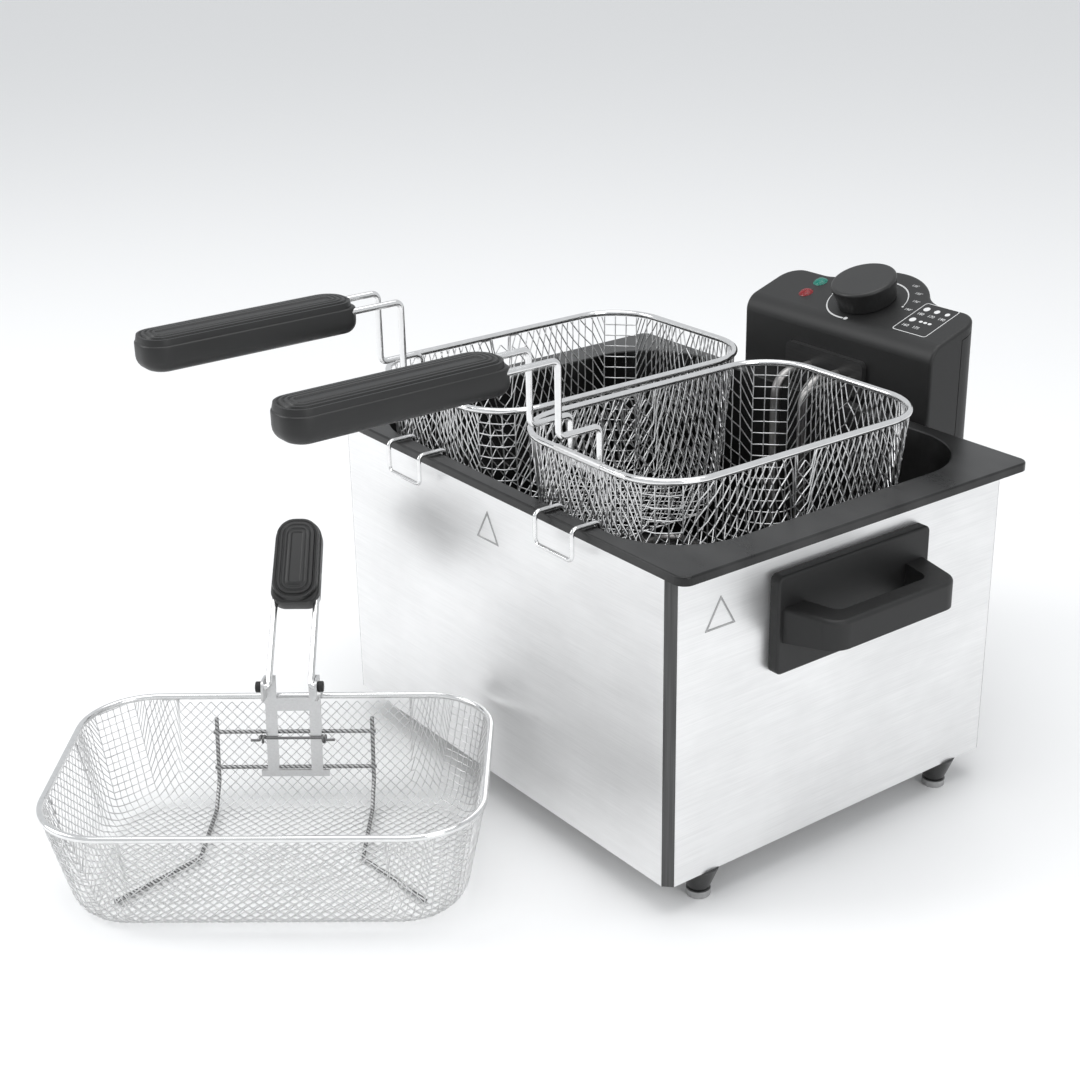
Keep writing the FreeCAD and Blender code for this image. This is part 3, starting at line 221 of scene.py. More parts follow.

# ---- Corner posts ----
# Folded steel posts that hold the panels, chamfered at the corner. Their dark grey is painted
# reflection of the dark studio in the chamfered steel corner, with faint upright streaks of the rolled
# sheet.
post_reflection_finish = Finish("post_paint", Metallic=0.35)
streaks = post_reflection_finish.noise(post_reflection_finish.spread((900, 900, 14)), 1.0, 3.0)
# Painted reflection: the two dark greys stand for the dark studio mirrored in the steel corner.
post_reflection_finish.show(colour=post_reflection_finish.blend(streaks.ramp(0.3, 0.75), grey(0.050), grey(0.092)),
           roughness=0.36 + streaks * 0.14, height=streaks, depth=0.00005)
dress(post_reflection_finish, "corner_post_front_left", "corner_post_front_right",
      "corner_post_rear_left", "corner_post_rear_right")

# ---- Base plate, screws and rear guide ----
# Plain steel, zinc coated: the spangled floor of the housing with the screws that hold the feet
# and handles, and the folded channel on the back that the control unit slides down into.
galvanised = Finish("galvanised", Metallic=1.0)
spangle = galvanised.node("TexVoronoi", {"feature": "F1"},
                          {"Vector": galvanised.spread((160, 160, 160)), "Randomness": 1.0}, "Color")
spangled = galvanised.along(spangle, 0)
galvanised.show(colour=galvanised.blend(spangled, grey(0.50), grey(0.66)),
                roughness=0.34 + spangled * 0.18, height=spangled, depth=0.00004)
dress(galvanised, "base_plate", "rear_guide", "guide_shoe")

screw_steel = Finish("screw_steel", Metallic=1.0)
turned = screw_steel.noise(screw_steel.spread((2500, 2500, 2500)))
screw_steel.show(colour=screw_steel.blend(turned, grey(0.45), grey(0.62)), roughness=0.3 + turned * 0.15,
                 height=turned, depth=0.00003)
dress(screw_steel, "foot_screws", "handle_screws")

# ---- Feet ----
# Four flared feet turned like cones in black rubber, each standing on a narrow pale pad that
# keeps it from marking the table. A screw goes up through each one.
rubber = Finish("foot_rubber", Specular_IOR_Level=0.55)
skin = rubber.noise(rubber.spread((420, 420, 420)), 1.0, 4.0)
pad = 1 - rubber.along(rubber.spread((1, 1, 1)), 2).ramp(0.0042, 0.0047)
black_skin = rubber.blend(skin, grey(0.006), grey(0.016))
pale_pad = rubber.blend(skin, grey(0.22), grey(0.40))
rubber.show(colour=rubber.blend(pad, black_skin, pale_pad), roughness=0.2 + skin * 0.1 + pad * 0.35,
            height=skin, depth=0.00005)
dress(rubber, "foot_front_left", "foot_front_right", "foot_rear_left", "foot_rear_right")

# ---- Carry handles ----
# Heat-proof black plastic, moulded in one piece with its plate and screwed on from inside.
# The mould gives it a fine matt grain that is a little smoother in patches.
handle_plastic = Finish("handle_plastic", Specular_IOR_Level=0.45)
pebble = handle_plastic.noise(handle_plastic.spread((1500, 1500, 1500)), 1.0, 4.0, 0.6)
patchy = handle_plastic.noise(handle_plastic.spread((45, 45, 45)), 1.0, 2.0)
handle_plastic.show(colour=handle_plastic.blend(patchy, grey(0.007), grey(0.012)),
                    roughness=0.40 + pebble * 0.16 + patchy * 0.06, height=pebble, depth=0.00012)
dress(handle_plastic, "side_handle_left", "side_handle_right")

# ---- Oil pot ----
# Steel pot drawn in one piece with its flange and turned-down lip, coated black inside and out.
# The coating shows soft cloudy streaks on the flange and is an even black inside.
enamel = Finish("pot_enamel", Specular_IOR_Level=0.38)
clouds = enamel.noise(enamel.spread((14, 30, 30)), 1.0, 4.0, 0.55)
specks = enamel.noise(enamel.spread((2200, 2200, 2200)), 1.0, 2.0)
inside_pot = 1 - enamel.along(enamel.spread((1, 1, 1)), 2).ramp(0.200, 0.2118)
flange_coat = enamel.blend(clouds.ramp(0.35, 0.7), grey(0.005), grey(0.026))
enamel.show(colour=enamel.blend(inside_pot, flange_coat, grey(0.006)),
            roughness=0.17 + clouds * 0.20 + specks * 0.05, height=specks + clouds * 0.3, depth=0.00005)
dress(enamel, "pot")

# ---- Control unit shells ----
# Two moulded shells of black plastic, a front one with the sloping panel and a rear cover under
# its cap. The grain of the mould is fine and even, and the edges are softened.
shell_plastic = Finish("shell_plastic", Specular_IOR_Level=0.5)
mould_grain = shell_plastic.noise(shell_plastic.spread((1900, 1900, 1900)), 1.0, 4.0, 0.6)
flow = shell_plastic.noise(shell_plastic.spread((20, 20, 6)), 1.0, 2.0)
shell_plastic.show(colour=shell_plastic.blend(flow, grey(0.007), grey(0.013)),
                   roughness=0.42 + mould_grain * 0.14, height=mould_grain, depth=0.0001)
dress(shell_plastic, "control_front", "control_rear")

# ---- Panel print ----
# Everything printed on the sloping panel in pale ink: two curved arrows of growing width round the
# knob, with a dot at each end, the dial's numbers, and a framed set of plain signs at its right.
PANEL_FRONT_Y, PANEL_EDGE_Z = 141.5, 258.0
SLOPE = math.radians(18)
KNOB_X, KNOB_Y = 5.0, 171.5
ARC_STEPS = 24


def panel_place(x, y, lift=0.0):
    """Matrix that lays the XY plane on the sloping panel at plan position x, y."""
    height = PANEL_EDGE_Z + (y - PANEL_FRONT_Y) * math.tan(SLOPE)
    up = Vector((0, -math.sin(SLOPE), math.cos(SLOPE))) * lift
    return HOUSING @ Matrix.Translation(Vector((x, y, height)) + up) @ Matrix.Rotation(SLOPE, 4, "X")


def line_mesh(name, lines, radius, steps=1, closed=False, kind="POLY"):
    """Mesh of round wires; each line is a list of points, or of points with their own width."""
    curve = bpy.data.curves.new(name, "CURVE")
    curve.dimensions = "3D"
    curve.bevel_depth = radius
    curve.bevel_resolution = steps
    curve.use_fill_caps = not closed
    for line in lines:
        spline = curve.splines.new(kind)
        spline.points.add(len(line) - 1)
        for held, given in zip(spline.points, line):
            held.co = (*given[:3], 1.0)
            held.radius = given[3] if len(given) > 3 else 1.0
        spline.use_cyclic_u = closed
        if kind == "NURBS":
            spline.use_endpoint_u = not closed
            spline.order_u = 4
            spline.resolution_u = 6
    holder = bpy.data.objects.new(name, curve)
    bpy.context.scene.collection.objects.link(holder)
    bpy.context.view_layer.update()
    finished = holder.evaluated_get(bpy.context.evaluated_depsgraph_get())
    mesh = bpy.data.meshes.new_from_object(finished)
    bpy.data.objects.remove(holder)
    return mesh


def add_mesh(shape, mesh, place):
    """Adds a mesh to a shape at its place."""
    before = set(shape.verts)
    shape.from_mesh(mesh)
    new = [corner for corner in shape.verts if corner not in before]
    bmesh.ops.transform(shape, matrix=place, verts=new)


def dial_arc(start, end, near, far, first_width, last_width):
    """Curved stroke from radius far at its start to near at its end, growing in width."""
    points = []
    for step in range(ARC_STEPS + 1):
        share = step / ARC_STEPS
        angle = math.radians(start + (end - start) * share)
        radius = far + (near - far) * share
        width = first_width + (last_width - first_width) * share
        points.append((radius * math.cos(angle), radius * math.sin(angle), 0.0, width))
    return points


INK_THICK = 0.06
ink_flat = Matrix.Diagonal((1, 1, INK_THICK, 1))
printed = bmesh.new()
for half_turn in (0, 180):
    arc = dial_arc(189 + half_turn, 272 + half_turn, 24.2, 28.0, 0.35, 1.0)
    stroke = line_mesh("stroke", [arc], 0.8, 2)
    add_mesh(printed, stroke, panel_place(KNOB_X, KNOB_Y) @ ink_flat)
    for dot_angle, dot_reach, dot_size in ((186, 28.2, 0.75), (277, 24.1, 1.5)):
        turned_by = math.radians(dot_angle + half_turn)
        centre = panel_place(KNOB_X, KNOB_Y) @ Matrix.Translation(
            (dot_reach * math.cos(turned_by), dot_reach * math.sin(turned_by), 0))
        bmesh.ops.create_cone(printed, cap_ends=True, segments=24, radius1=dot_size, radius2=dot_size,
                              depth=2 * INK_THICK, matrix=centre)


def letters(text, size, x, y):
    """Flat sign in a plain typeface, laid on the panel."""
    curve = bpy.data.curves.new("sign", "FONT")
    curve.body = text
    curve.size = size
    curve.align_x = "CENTER"
    curve.align_y = "CENTER"
    curve.extrude = INK_THICK
    holder = bpy.data.objects.new("sign", curve)
    bpy.context.scene.collection.objects.link(holder)
    bpy.context.view_layer.update()
    finished = holder.evaluated_get(bpy.context.evaluated_depsgraph_get())
    mesh = bpy.data.meshes.new_from_object(finished)
    bpy.data.objects.remove(holder)
    add_mesh(printed, mesh, panel_place(x, y))


for number, angle in (("130", 62), ("150", 41), ("170", 22), ("190", 3)):
    reach = 30.5
    letters(number + "\u00b0", 3.1, KNOB_X + reach * math.cos(math.radians(angle)) + 3.5,
            KNOB_Y + reach * math.sin(math.radians(angle)) * math.cos(SLOPE))

FRAME_X, FRAME_Y = 58.6, 168.0
border = bmesh.new()
bmesh.ops.create_grid(border, x_segments=1, y_segments=1, size=1.0)
bmesh.ops.scale(border, vec=(14, 17, 1), verts=border.verts[:])
bmesh.ops.bevel(border, geom=border.verts[:], offset=2.2, offset_type="OFFSET", segments=5,
                profile=0.5, affect="VERTICES", material=-1, clamp_overlap=True)
border_field = border.faces[:]
bmesh.ops.inset_region(border, faces=border_field, thickness=0.55, use_even_offset=True,
                       use_boundary=True)
bmesh.ops.delete(border, geom=border_field, context="FACES_ONLY")
border_mesh = bpy.data.meshes.new("border")
border.to_mesh(border_mesh)
border.free()
add_mesh(printed, border_mesh, panel_place(FRAME_X, FRAME_Y, INK_THICK))
for row_y, row_signs in ((10.5, ("disc", "disc", "disc")), (-3.0, ("disc", "bars"))):
    for number, sign in enumerate(row_signs):
        sign_at = panel_place(FRAME_X, FRAME_Y) @ Matrix.Translation((-8.5 + 8.5 * number, row_y, 0))
        if sign == "disc":
            bmesh.ops.create_cone(printed, cap_ends=True, segments=20, radius1=2.3 - 0.3 * number,
                                  radius2=2.3 - 0.3 * number, depth=2 * INK_THICK, matrix=sign_at)
            continue
        for bar in range(3):
            bar_at = (sign_at @ Matrix.Translation((bar * 3.6 - 1.6, 0, 0))
                      @ Matrix.Diagonal((1.3, 1, 1, 1)))
            bmesh.ops.create_cone(printed, cap_ends=True, segments=16, radius1=1.1, radius2=1.1,
                                  depth=2 * INK_THICK, matrix=bar_at)
for sign_text, sign_x, sign_y in (("180", -8.5, 4.2), ("170", 0.2, 4.2), ("190", 8.8, 4.2),
                                  ("160", -8.5, -9.6), ("175", 0.2, -9.6)):
    letters(sign_text, 3.6, FRAME_X + sign_x, FRAME_Y + sign_y)

ink = Finish("panel_ink", Roughness=0.55)
ink.show(colour=ink.blend(ink.noise(ink.spread((900, 900, 900))), grey(0.60), grey(0.72)))
printed_mesh = bpy.data.meshes.new("panel_print")
printed.to_mesh(printed_mesh)
printed.free()
fit(printed_mesh, ink, "control_unit", "housing_plastic")

# ---- Knob and lamps ----
# The thermostat knob is turned from black plastic with a satin top and a small pointer behind.
# Beside it are two clear domed lenses, green for heating and red for mains, with painted glow in the
# bright centre of each facet.
knob_plastic = Finish("knob_plastic", Specular_IOR_Level=0.5)
knob_grain = knob_plastic.noise(knob_plastic.spread((1700, 1700, 1700)), 1.0, 3.0)
knob_rub = knob_plastic.noise(knob_plastic.spread((60, 60, 60)), 1.0, 2.0)
knob_plastic.show(colour=knob_plastic.blend(knob_rub, grey(0.012), grey(0.020)),
                  roughness=0.30 + knob_grain * 0.12 + knob_rub * 0.08, height=knob_grain, depth=0.00006)
dress(knob_plastic, "knob")

for lamp, deep, painted_glow in (("lens_green", (0.0, 0.10, 0.075, 1), (0.004, 0.30, 0.22, 1)),
                           ("lens_red", (0.10, 0.001, 0.003, 1), (0.42, 0.006, 0.014, 1))):
    clear = Finish(lamp, Roughness=0.15, Specular_IOR_Level=0.4)
    # Each facet's bright centre is painted glow; the deep colour is the lens's own.
    facets_and_glow = clear.node("TexVoronoi", {"feature": "F1"}, {"Vector": clear.spread((900, 900, 900))}, 0)
    clear.show(colour=clear.blend(facets_and_glow.ramp(0.1, 0.7), painted_glow, deep), height=facets_and_glow, depth=0.00008)
    dress(clear, lamp)

# ---- Back of the control unit and what is inside ----
# A red push button of the over-heat cut-out, a plain gland for the lead, and behind the shells
# the thermostat's pressed can and a glazed white terminal block.
button_red = Finish("button_red", Roughness=0.32)
button_skin = button_red.noise(button_red.spread((1200, 1200, 1200)))
button_red.show(colour=button_red.blend(button_skin, (0.42, 0.012, 0.014, 1), (0.55, 0.02, 0.02, 1)),
                height=button_skin, depth=0.00004)
dress(button_red, "reset_button")

# The grooves between the ribs are painted darker than the crests: painted shade in the grooves.
gland_plastic_painted_shade = Finish("gland_plastic_painted_shade", Specular_IOR_Level=0.45)
ribs_and_painted_shade = gland_plastic_painted_shade.along(gland_plastic_painted_shade.spread((1, 1, 1)), 1) * 4200.0
ribs_and_painted_shade = ribs_and_painted_shade.wave() * 0.5 + 0.5
gland_plastic_painted_shade.show(colour=gland_plastic_painted_shade.blend(ribs_and_painted_shade, grey(0.006), grey(0.014)),
                   roughness=0.42 + ribs_and_painted_shade * 0.1, height=ribs_and_painted_shade, depth=0.0002)
dress(gland_plastic_painted_shade, "cable_gland")

dress(galvanised, "thermostat")
ceramic = Finish("terminal_ceramic", Roughness=0.22, Coat_Weight=0.6)
glaze = ceramic.noise(ceramic.spread((300, 300, 300)))
ceramic.show(colour=ceramic.blend(glaze, (0.72, 0.70, 0.64, 1), (0.83, 0.81, 0.76, 1)), height=glaze)
dress(ceramic, "terminal_block")

# ---- Heating element ----
# A tube of stainless steel, bent cold and brazed into its head plate, dulled to a darker grey in
# patches by heat. The thermostat's bulb and capillary share its finish.
element_steel = Finish("element_steel", Metallic=1.0)
heat = element_steel.noise(element_steel.spread((35, 35, 35)), 1.0, 4.0)
scale_marks = element_steel.noise(element_steel.spread((700, 700, 700)), 1.0, 4.0)
heated = element_steel.blend(heat.ramp(0.35, 0.7), (0.42, 0.41, 0.40, 1), (0.26, 0.25, 0.25, 1))
element_steel.show(colour=heated, roughness=0.30 + scale_marks * 0.2, height=scale_marks, depth=0.00006)
dress(element_steel, "heating_element", "thermostat_probe")

head_steel = Finish("head_steel", Metallic=0.6)
head_grain = head_steel.noise(head_steel.spread((20, 900, 900)))
head_steel.show(colour=head_steel.blend(head_grain, grey(0.045), grey(0.075)),
                roughness=0.28 + head_grain * 0.14, height=head_grain, depth=0.00004)
dress(head_steel, "element_head")

# ---- Small baskets: woven nets ----
# Each net is cloth of thin bright wire, woven plain and pressed into a tub on the bias. The cloth
# keeps its open squares in the corners and is gathered into narrow diamonds along the walls.
WEAVE_LIFT = 0.24


class PressedTub:
    """The surface that the flat cloth is pressed to, as a tub with a round floor edge."""

    def __init__(self, width, depth, height, taper, corner, floor_round, tight, corner_zone):
        slope = math.atan(taper / height)
        self.slope = slope
        self.bend = math.pi / 2 - slope
        self.round = floor_round
        self.tangent = floor_round * math.tan(self.bend / 2)
        self.flat_x = width / 2 - taper - self.tangent
        self.flat_y = depth / 2 - taper - self.tangent
        self.flat_corner = corner - taper / 2 - self.tangent
        self.straight_x = self.flat_x - self.flat_corner
        self.straight_y = self.flat_y - self.flat_corner
        self.tight = tight
        self.zone = corner_zone
        rise = height - floor_round * (1 - math.cos(self.bend))
        self.reach = floor_round * self.bend + rise / math.cos(slope)

    def profile(self, way):
        """Offset, height and steepness at a way up from the edge of the flat floor."""
        arc = self.round * self.bend
        if way <= arc:
            angle = way / self.round
            return self.round * math.sin(angle), self.round * (1 - math.cos(angle)), angle
        offset = self.round * math.sin(self.bend) + (way - arc) * math.sin(self.slope)
        height = self.round * (1 - math.cos(self.bend)) + (way - arc) * math.cos(self.slope)
        return offset, height, self.bend

    def corner_at(self, offset):
        return self.flat_corner + offset - 0.5 * max(0.0, offset - self.tangent)

    def gathered(self, way, along, straight):
        """Where a place along the flat cloth comes to lie along the wall, and how gathered it is."""
        offset = self.profile(way)[0]
        corner = self.corner_at(offset)
        spare = 0.5 * max(0.0, offset - self.tangent)
        cloth_half = straight + math.pi / 4 * (self.flat_corner + way)
        wall_half = straight + spare + math.pi / 4 * corner
        cloth_end = cloth_half - self.zone
        wall_end = wall_half - self.zone
        if along >= cloth_end:
            return wall_half - (cloth_half - along), 1.0
        top_offset = self.profile(self.reach)[0]
        top_cloth = straight + math.pi / 4 * (self.flat_corner + self.reach) - self.zone
        top_wall = (straight + 0.5 * (top_offset - self.tangent)
                    + math.pi / 4 * self.corner_at(top_offset) - self.zone)
        open_half = max(0.0, (top_wall - self.tight * top_cloth) / (1 - self.tight))
        open_half = min(open_half, wall_end * 0.9)
        if along <= open_half:
            return along, 1.0
        ratio = (wall_end - open_half) / (cloth_end - open_half)
        ease = 0.5 + 0.5 * ratio
        u = (along - open_half) / (cloth_end - open_half)
        bent = (ratio * (3 * u * u - 2 * u ** 3) + ease * (u ** 3 - 2 * u * u + u)
                + ease * (u ** 3 - u * u))
        steep = (ratio * (6 * u - 6 * u * u) + ease * (3 * u * u - 4 * u + 1)
                 + ease * (3 * u * u - 2 * u))
        return open_half + (cloth_end - open_half) * bent, min(1.0, max(0.2, steep))

    def pressed(self, x, y, lift):
        """Point of the tub for a point of the flat cloth, and its way up the wall."""
        side_x = math.copysign(1.0, x)
        side_y = math.copysign(1.0, y)
        ax, ay = abs(x), abs(y)
        in_x = ax - self.straight_x
        in_y = ay - self.straight_y
        if in_x > 0 and in_y > 0:
            spread = math.hypot(in_x, in_y)
            way = spread - self.flat_corner
            turn = math.atan2(in_y, in_x)
            long_wall = turn > math.pi / 4
            if long_wall:
                along = self.straight_x + (math.pi / 2 - turn) * spread
            else:
                along = self.straight_y + turn * spread
        else:
            long_wall = ay - self.flat_y > ax - self.flat_x
            way = ay - self.flat_y if long_wall else ax - self.flat_x
            along = ax if long_wall else ay
        if way <= 0:
            return Vector((x, y, lift)), 0.0
        straight = self.straight_x if long_wall else self.straight_y
        half = self.flat_x if long_wall else self.flat_y
        out = self.flat_y if long_wall else self.flat_x
        where, gather = self.gathered(way, along, straight)
        way = way * math.sqrt(2 - gather * gather)
        offset, height, angle = self.profile(way)
        corner = self.corner_at(offset)
        limit = half + offset - corner
        if where <= limit:
            across, outwards, dx, dy = where, out + offset, 0.0, 1.0
        else:
            around = (where - limit) / corner
            dx, dy = math.sin(around), math.cos(around)
            across = limit + corner * dx
            outwards = out + offset - corner + corner * dy
        across -= dx * lift * math.sin(angle)
        outwards -= dy * lift * math.sin(angle)
        height += lift * math.cos(angle)
        if not long_wall:
            across, outwards = outwards, across
        return Vector((side_x * across, side_y * outwards, height)), way

    def wires(self, pitch):
        """The cloth's two sets of wires, over and under each other, cut off at the top edge."""
        half = max(self.flat_x, self.flat_y) + self.reach
        count = int(2 * half / pitch) + 2
        lines = []
        for family in (0, 1):
            for number in range(-count, count + 1):
                run = []
                for other in range(-count, count + 1):
                    i, j = (number, other) if family == 0 else (other, number)
                    x = (i - j) * pitch / math.sqrt(2)
                    y = (i + j) * pitch / math.sqrt(2)
                    if abs(x) > self.flat_x + self.reach or abs(y) > self.flat_y + self.reach:
                        continue
                    over = WEAVE_LIFT if (i + j + family) % 2 else -WEAVE_LIFT
                    point, way = self.pressed(x + 0.01, y + 0.013, over)
                    run.append((point, way))
                line = []
                for k, (point, way) in enumerate(run):
                    if way <= self.reach:
                        line.append(point)
                        continue
                    for near in (k - 1, k + 1):
                        if 0 <= near < len(run) and run[near][1] < self.reach:
                            share = (self.reach - run[near][1]) / (way - run[near][1])
                            line.append(run[near][0].lerp(point, share))
                if len(line) > 1:
                    lines.append(line)
        return lines


net_steel = Finish("net_wire", Metallic=1.0)
drawn = net_steel.noise(net_steel.spread((400, 400, 400)), 1.0, 2.0)
net_steel.show(colour=net_steel.blend(drawn, grey(0.62), grey(0.80)), roughness=0.24 + drawn * 0.14)

SMALL_AT = {}
small_tub = PressedTub(136.0, 207.0, 107.0, 9.0, 36.0, 13.4, 0.5, 17.0)
small_wires = small_tub.wires(7.4)
for side in ("left", "right"):
    low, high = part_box("basket_" + side + "_net")
    middle = (low + high) / 2
    SMALL_AT[side] = Matrix.Translation((middle.x, middle.y, low.z)) @ Matrix.Scale(MM, 4)
    woven = line_mesh("basket_" + side + "_woven_net", small_wires, 0.42, 1)
    woven.transform(SMALL_AT[side] @ Matrix.Translation((0, 0, 0.6)))
    fit(woven, net_steel, "basket_" + side, "net_wire", "basket_" + side + "_net")

# ---- Small baskets: rims, hooks and handle wires ----
# Round steel wire, bent, butt welded and chrome plated. The rim holds the cloth's edge, the hook
# hangs on the pot's lip, and the handle wire's ends stand in the clip.
chrome = Finish("chrome_wire", Metallic=1.0)
plating = chrome.noise(chrome.spread((260, 260, 260)), 1.0, 3.0)
chrome.show(colour=chrome.blend(plating, grey(0.72), grey(0.86)), roughness=0.09 + plating * 0.08,
            height=plating, depth=0.00003)
for side in ("left", "right"):
    dress(chrome, *["basket_" + side + "_" + part for part in ("rim", "hook", "handle_wire")])

# ---- Small baskets: clips ----
# A strip of sheet steel wrapped over the front rim and folded down inside it, with two short
# tubes spot welded to it that take the ends of the handle wire.
SLEEVE_WIDE = 40.0
RIM_HIGH = 110.0
RIM_FRONT = -103.5
CLIP_DOWN = 7.0
WRAP_R, WRAP_EXTRA = 2.3, 0.9


def rim_sleeve():
    """The wrapped strip and its two tubes, in the basket's own place."""
    shape = bmesh.new()
    start = shape.verts.new((-SLEEVE_WIDE / 2, RIM_FRONT - WRAP_R * math.cos(WRAP_EXTRA),
                             RIM_HIGH - WRAP_R * math.sin(WRAP_EXTRA)))
    turned_over = bmesh.ops.spin(shape, geom=[start], cent=(0, RIM_FRONT, RIM_HIGH), axis=(1, 0, 0),
                                 angle=-(math.pi + WRAP_EXTRA), steps=16)["geom_last"]
    last = [item for item in turned_over if isinstance(item, bmesh.types.BMVert)]
    down = bmesh.ops.extrude_vert_indiv(shape, verts=last)["verts"]
    bmesh.ops.translate(shape, vec=(0, 0, -CLIP_DOWN), verts=down)
    ribbon = bmesh.ops.extrude_edge_only(shape, edges=shape.edges[:])["geom"]
    far = [item for item in ribbon if isinstance(item, bmesh.types.BMVert)]
    bmesh.ops.translate(shape, vec=(SLEEVE_WIDE, 0, 0), verts=far)
    bmesh.ops.recalc_face_normals(shape, faces=shape.faces[:])
    bmesh.ops.solidify(shape, geom=shape.faces[:], thickness=0.7)
    for side_sign in (-1, 1):
        place = Matrix.Translation((side_sign * 12.5, -99.2, RIM_HIGH - 4.6))
        tube = bmesh.ops.create_cone(shape, cap_ends=True, segments=20, radius1=2.8, radius2=2.8,
                                     depth=8.5, matrix=place)["verts"]
        ends = [edge for edge in shape.edges if all(v in tube for v in edge.verts)
                and abs(edge.verts[0].co.z - edge.verts[1].co.z) < 0.01]
        bmesh.ops.bevel(shape, geom=ends, offset=0.5, offset_type="OFFSET", segments=2, profile=0.5,
                        affect="EDGES", material=-1, clamp_overlap=True)
    return shape


sheet_steel = Finish("sheet_steel", Metallic=1.0)
rolled = sheet_steel.noise(sheet_steel.spread((60, 900, 900)), 1.0, 3.0)
sheet_steel.show(colour=sheet_steel.blend(rolled, grey(0.60), grey(0.74)),
                 roughness=0.24 + rolled * 0.16, height=rolled, depth=0.00004)
for side in ("left", "right"):
    sleeve = solid(rim_sleeve(), "basket_" + side + "_sleeve", SMALL_AT[side])
    fit(sleeve, sheet_steel, "basket_" + side, "bracket_steel", "basket_" + side + "_clip")

# ---- Small baskets: grips ----
# Black plastic moulded over the looped end of the wire: a bullet-shaped bar, smooth round its
# sides and below, with ridges on top that run its length and wrap round both ends in steps.
GRIP_TIP, GRIP_SHOULDER, GRIP_ROUND = 0.43, 0.29, 0.37


def bullet(shape, width, length, low, high, tip, root):
    """Adds an upright slab along -Y from the origin with round corners in plan."""
    corners = bmesh.ops.create_cube(shape, size=1)["verts"]
    bmesh.ops.scale(shape, vec=(width, length, high - low), verts=corners)
    bmesh.ops.translate(shape, vec=(0, -length / 2, (high + low) / 2), verts=corners)
    for radius, at in ((tip, -length), (root, 0.0)):
        upright = [edge for edge in shape.edges if all(abs(v.co.y - at) < 0.01 for v in edge.verts)
                   and abs(edge.verts[0].co.x - edge.verts[1].co.x) < 0.01
                   and abs(abs(edge.verts[0].co.x) - width / 2) < 0.01
                   and abs(abs(edge.verts[0].co.z - edge.verts[1].co.z) - (high - low)) < 0.01]
        bmesh.ops.bevel(shape, geom=upright, offset=radius, offset_type="OFFSET", segments=9,
                        profile=0.5, affect="EDGES", material=-1, clamp_overlap=False)


def soften(shape, level, radius, segments):
    """Rounds the edges that lie at one level."""
    edges = [edge for edge in shape.edges if all(abs(v.co.z - level) < 0.01 for v in edge.verts)]
    bmesh.ops.bevel(shape, geom=edges, offset=radius, offset_type="OFFSET", segments=segments,
                    profile=0.5, affect="EDGES", material=-1, clamp_overlap=False)


def moulded_grip(width, length, thick, root, ridges, groove, spread_end):
    """Grip along -Y from the origin: a soft bullet-shaped bar under a cap of stepped ridges."""
    bar = bmesh.new()
    tip = width * GRIP_TIP
    shoulder = thick * GRIP_SHOULDER
    bullet(bar, width, length, -thick / 2, shoulder, tip, root)
    soften(bar, -thick / 2, thick * GRIP_ROUND, 6)
    soften(bar, shoulder, 1.4, 3)
    cap = bmesh.new()
    edge = 0.7
    bullet(cap, width - 2 * edge, length - 2 * edge, 0.0, shoulder + 0.2, tip - edge, tip - edge)
    bmesh.ops.translate(cap, vec=(0, -edge, 0), verts=cap.verts[:])
    top = max(cap.faces, key=lambda face: face.calc_center_median().z)
    half = tip - edge - 0.6
    step = half / ridges
    crown = thick / 2 - shoulder - 0.3 - groove
    for ring in range(ridges):
        here = 1 - ring / ridges
        after = 1 - (ring + 1) / ridges
        rise = crown * (math.sqrt(1 - after ** 2.4) - math.sqrt(1 - here ** 2.4))
        for wide, climb in ((0.22, rise + groove), (0.40, 0.10), (0.24, -groove - 0.10), (0.14, 0.0)):
            bmesh.ops.inset_region(cap, faces=[top], thickness=step * wide, use_even_offset=True,
                                   use_boundary=True)
            bmesh.ops.translate(cap, vec=(0, 0, climb), verts=top.verts[:])
    for part in (bar, cap):
        for corner in part.verts:
            corner.co.x *= 1 + spread_end * (1 + 2 * corner.co.y / length)
    joined = bpy.data.meshes.new("cap")
    cap.to_mesh(joined)
    cap.free()
    bar.from_mesh(joined)
    return bar


grip_plastic = Finish("grip_plastic", Specular_IOR_Level=0.5)
grip_grain = grip_plastic.noise(grip_plastic.spread((1400, 1400, 1400)), 1.0, 3.0)
handled = grip_plastic.noise(grip_plastic.spread((40, 40, 40)), 1.0, 2.0)
grip_plastic.show(colour=grip_plastic.blend(handled, grey(0.006), grey(0.012)),
                  roughness=0.33 + grip_grain * 0.12 + handled * 0.08, height=grip_grain, depth=0.00006)
for side in ("left", "right"):
    grip_place = SMALL_AT[side] @ Matrix.Translation((0, -154.7, 169.0))
    grip = solid(moulded_grip(30.0, 130.0, 20.0, 8.5, 4, 0.55, 0.0), "basket_" + side + "_ribbed_grip",
                 grip_place, 30.0)
    fit(grip, grip_plastic, "basket_handle_" + side, "grip_plastic", "basket_" + side + "_grip")

# ---- Large basket: net, rim and frame ----
# Finer cloth of the same kind pressed into a wide shallow tub, hung from a chromed rim wire. A
# welded frame of thin wire carries the bracket down the wall and out over the floor.
rim_low, rim_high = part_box("basket_large_rim")
LARGE_TURN = math.radians(52)
LARGE_AT = (Matrix.Translation(((rim_low.x + rim_high.x) / 2, (rim_low.y + rim_high.y) / 2, 0))
            @ Matrix.Rotation(LARGE_TURN, 4, "Z") @ Matrix.Scale(MM, 4))
large_tub = PressedTub(246.0, 164.0, 64.0, 13.0, 41.0, 14.4, 0.42, 16.0)
large_woven = line_mesh("basket_large_woven_net", large_tub.wires(4.56), 0.34, 0)
large_woven.transform(LARGE_AT @ Matrix.Translation((0, 0, 0.62)))
fit(large_woven, net_steel, "large_basket", "net_wire", "basket_large_net")

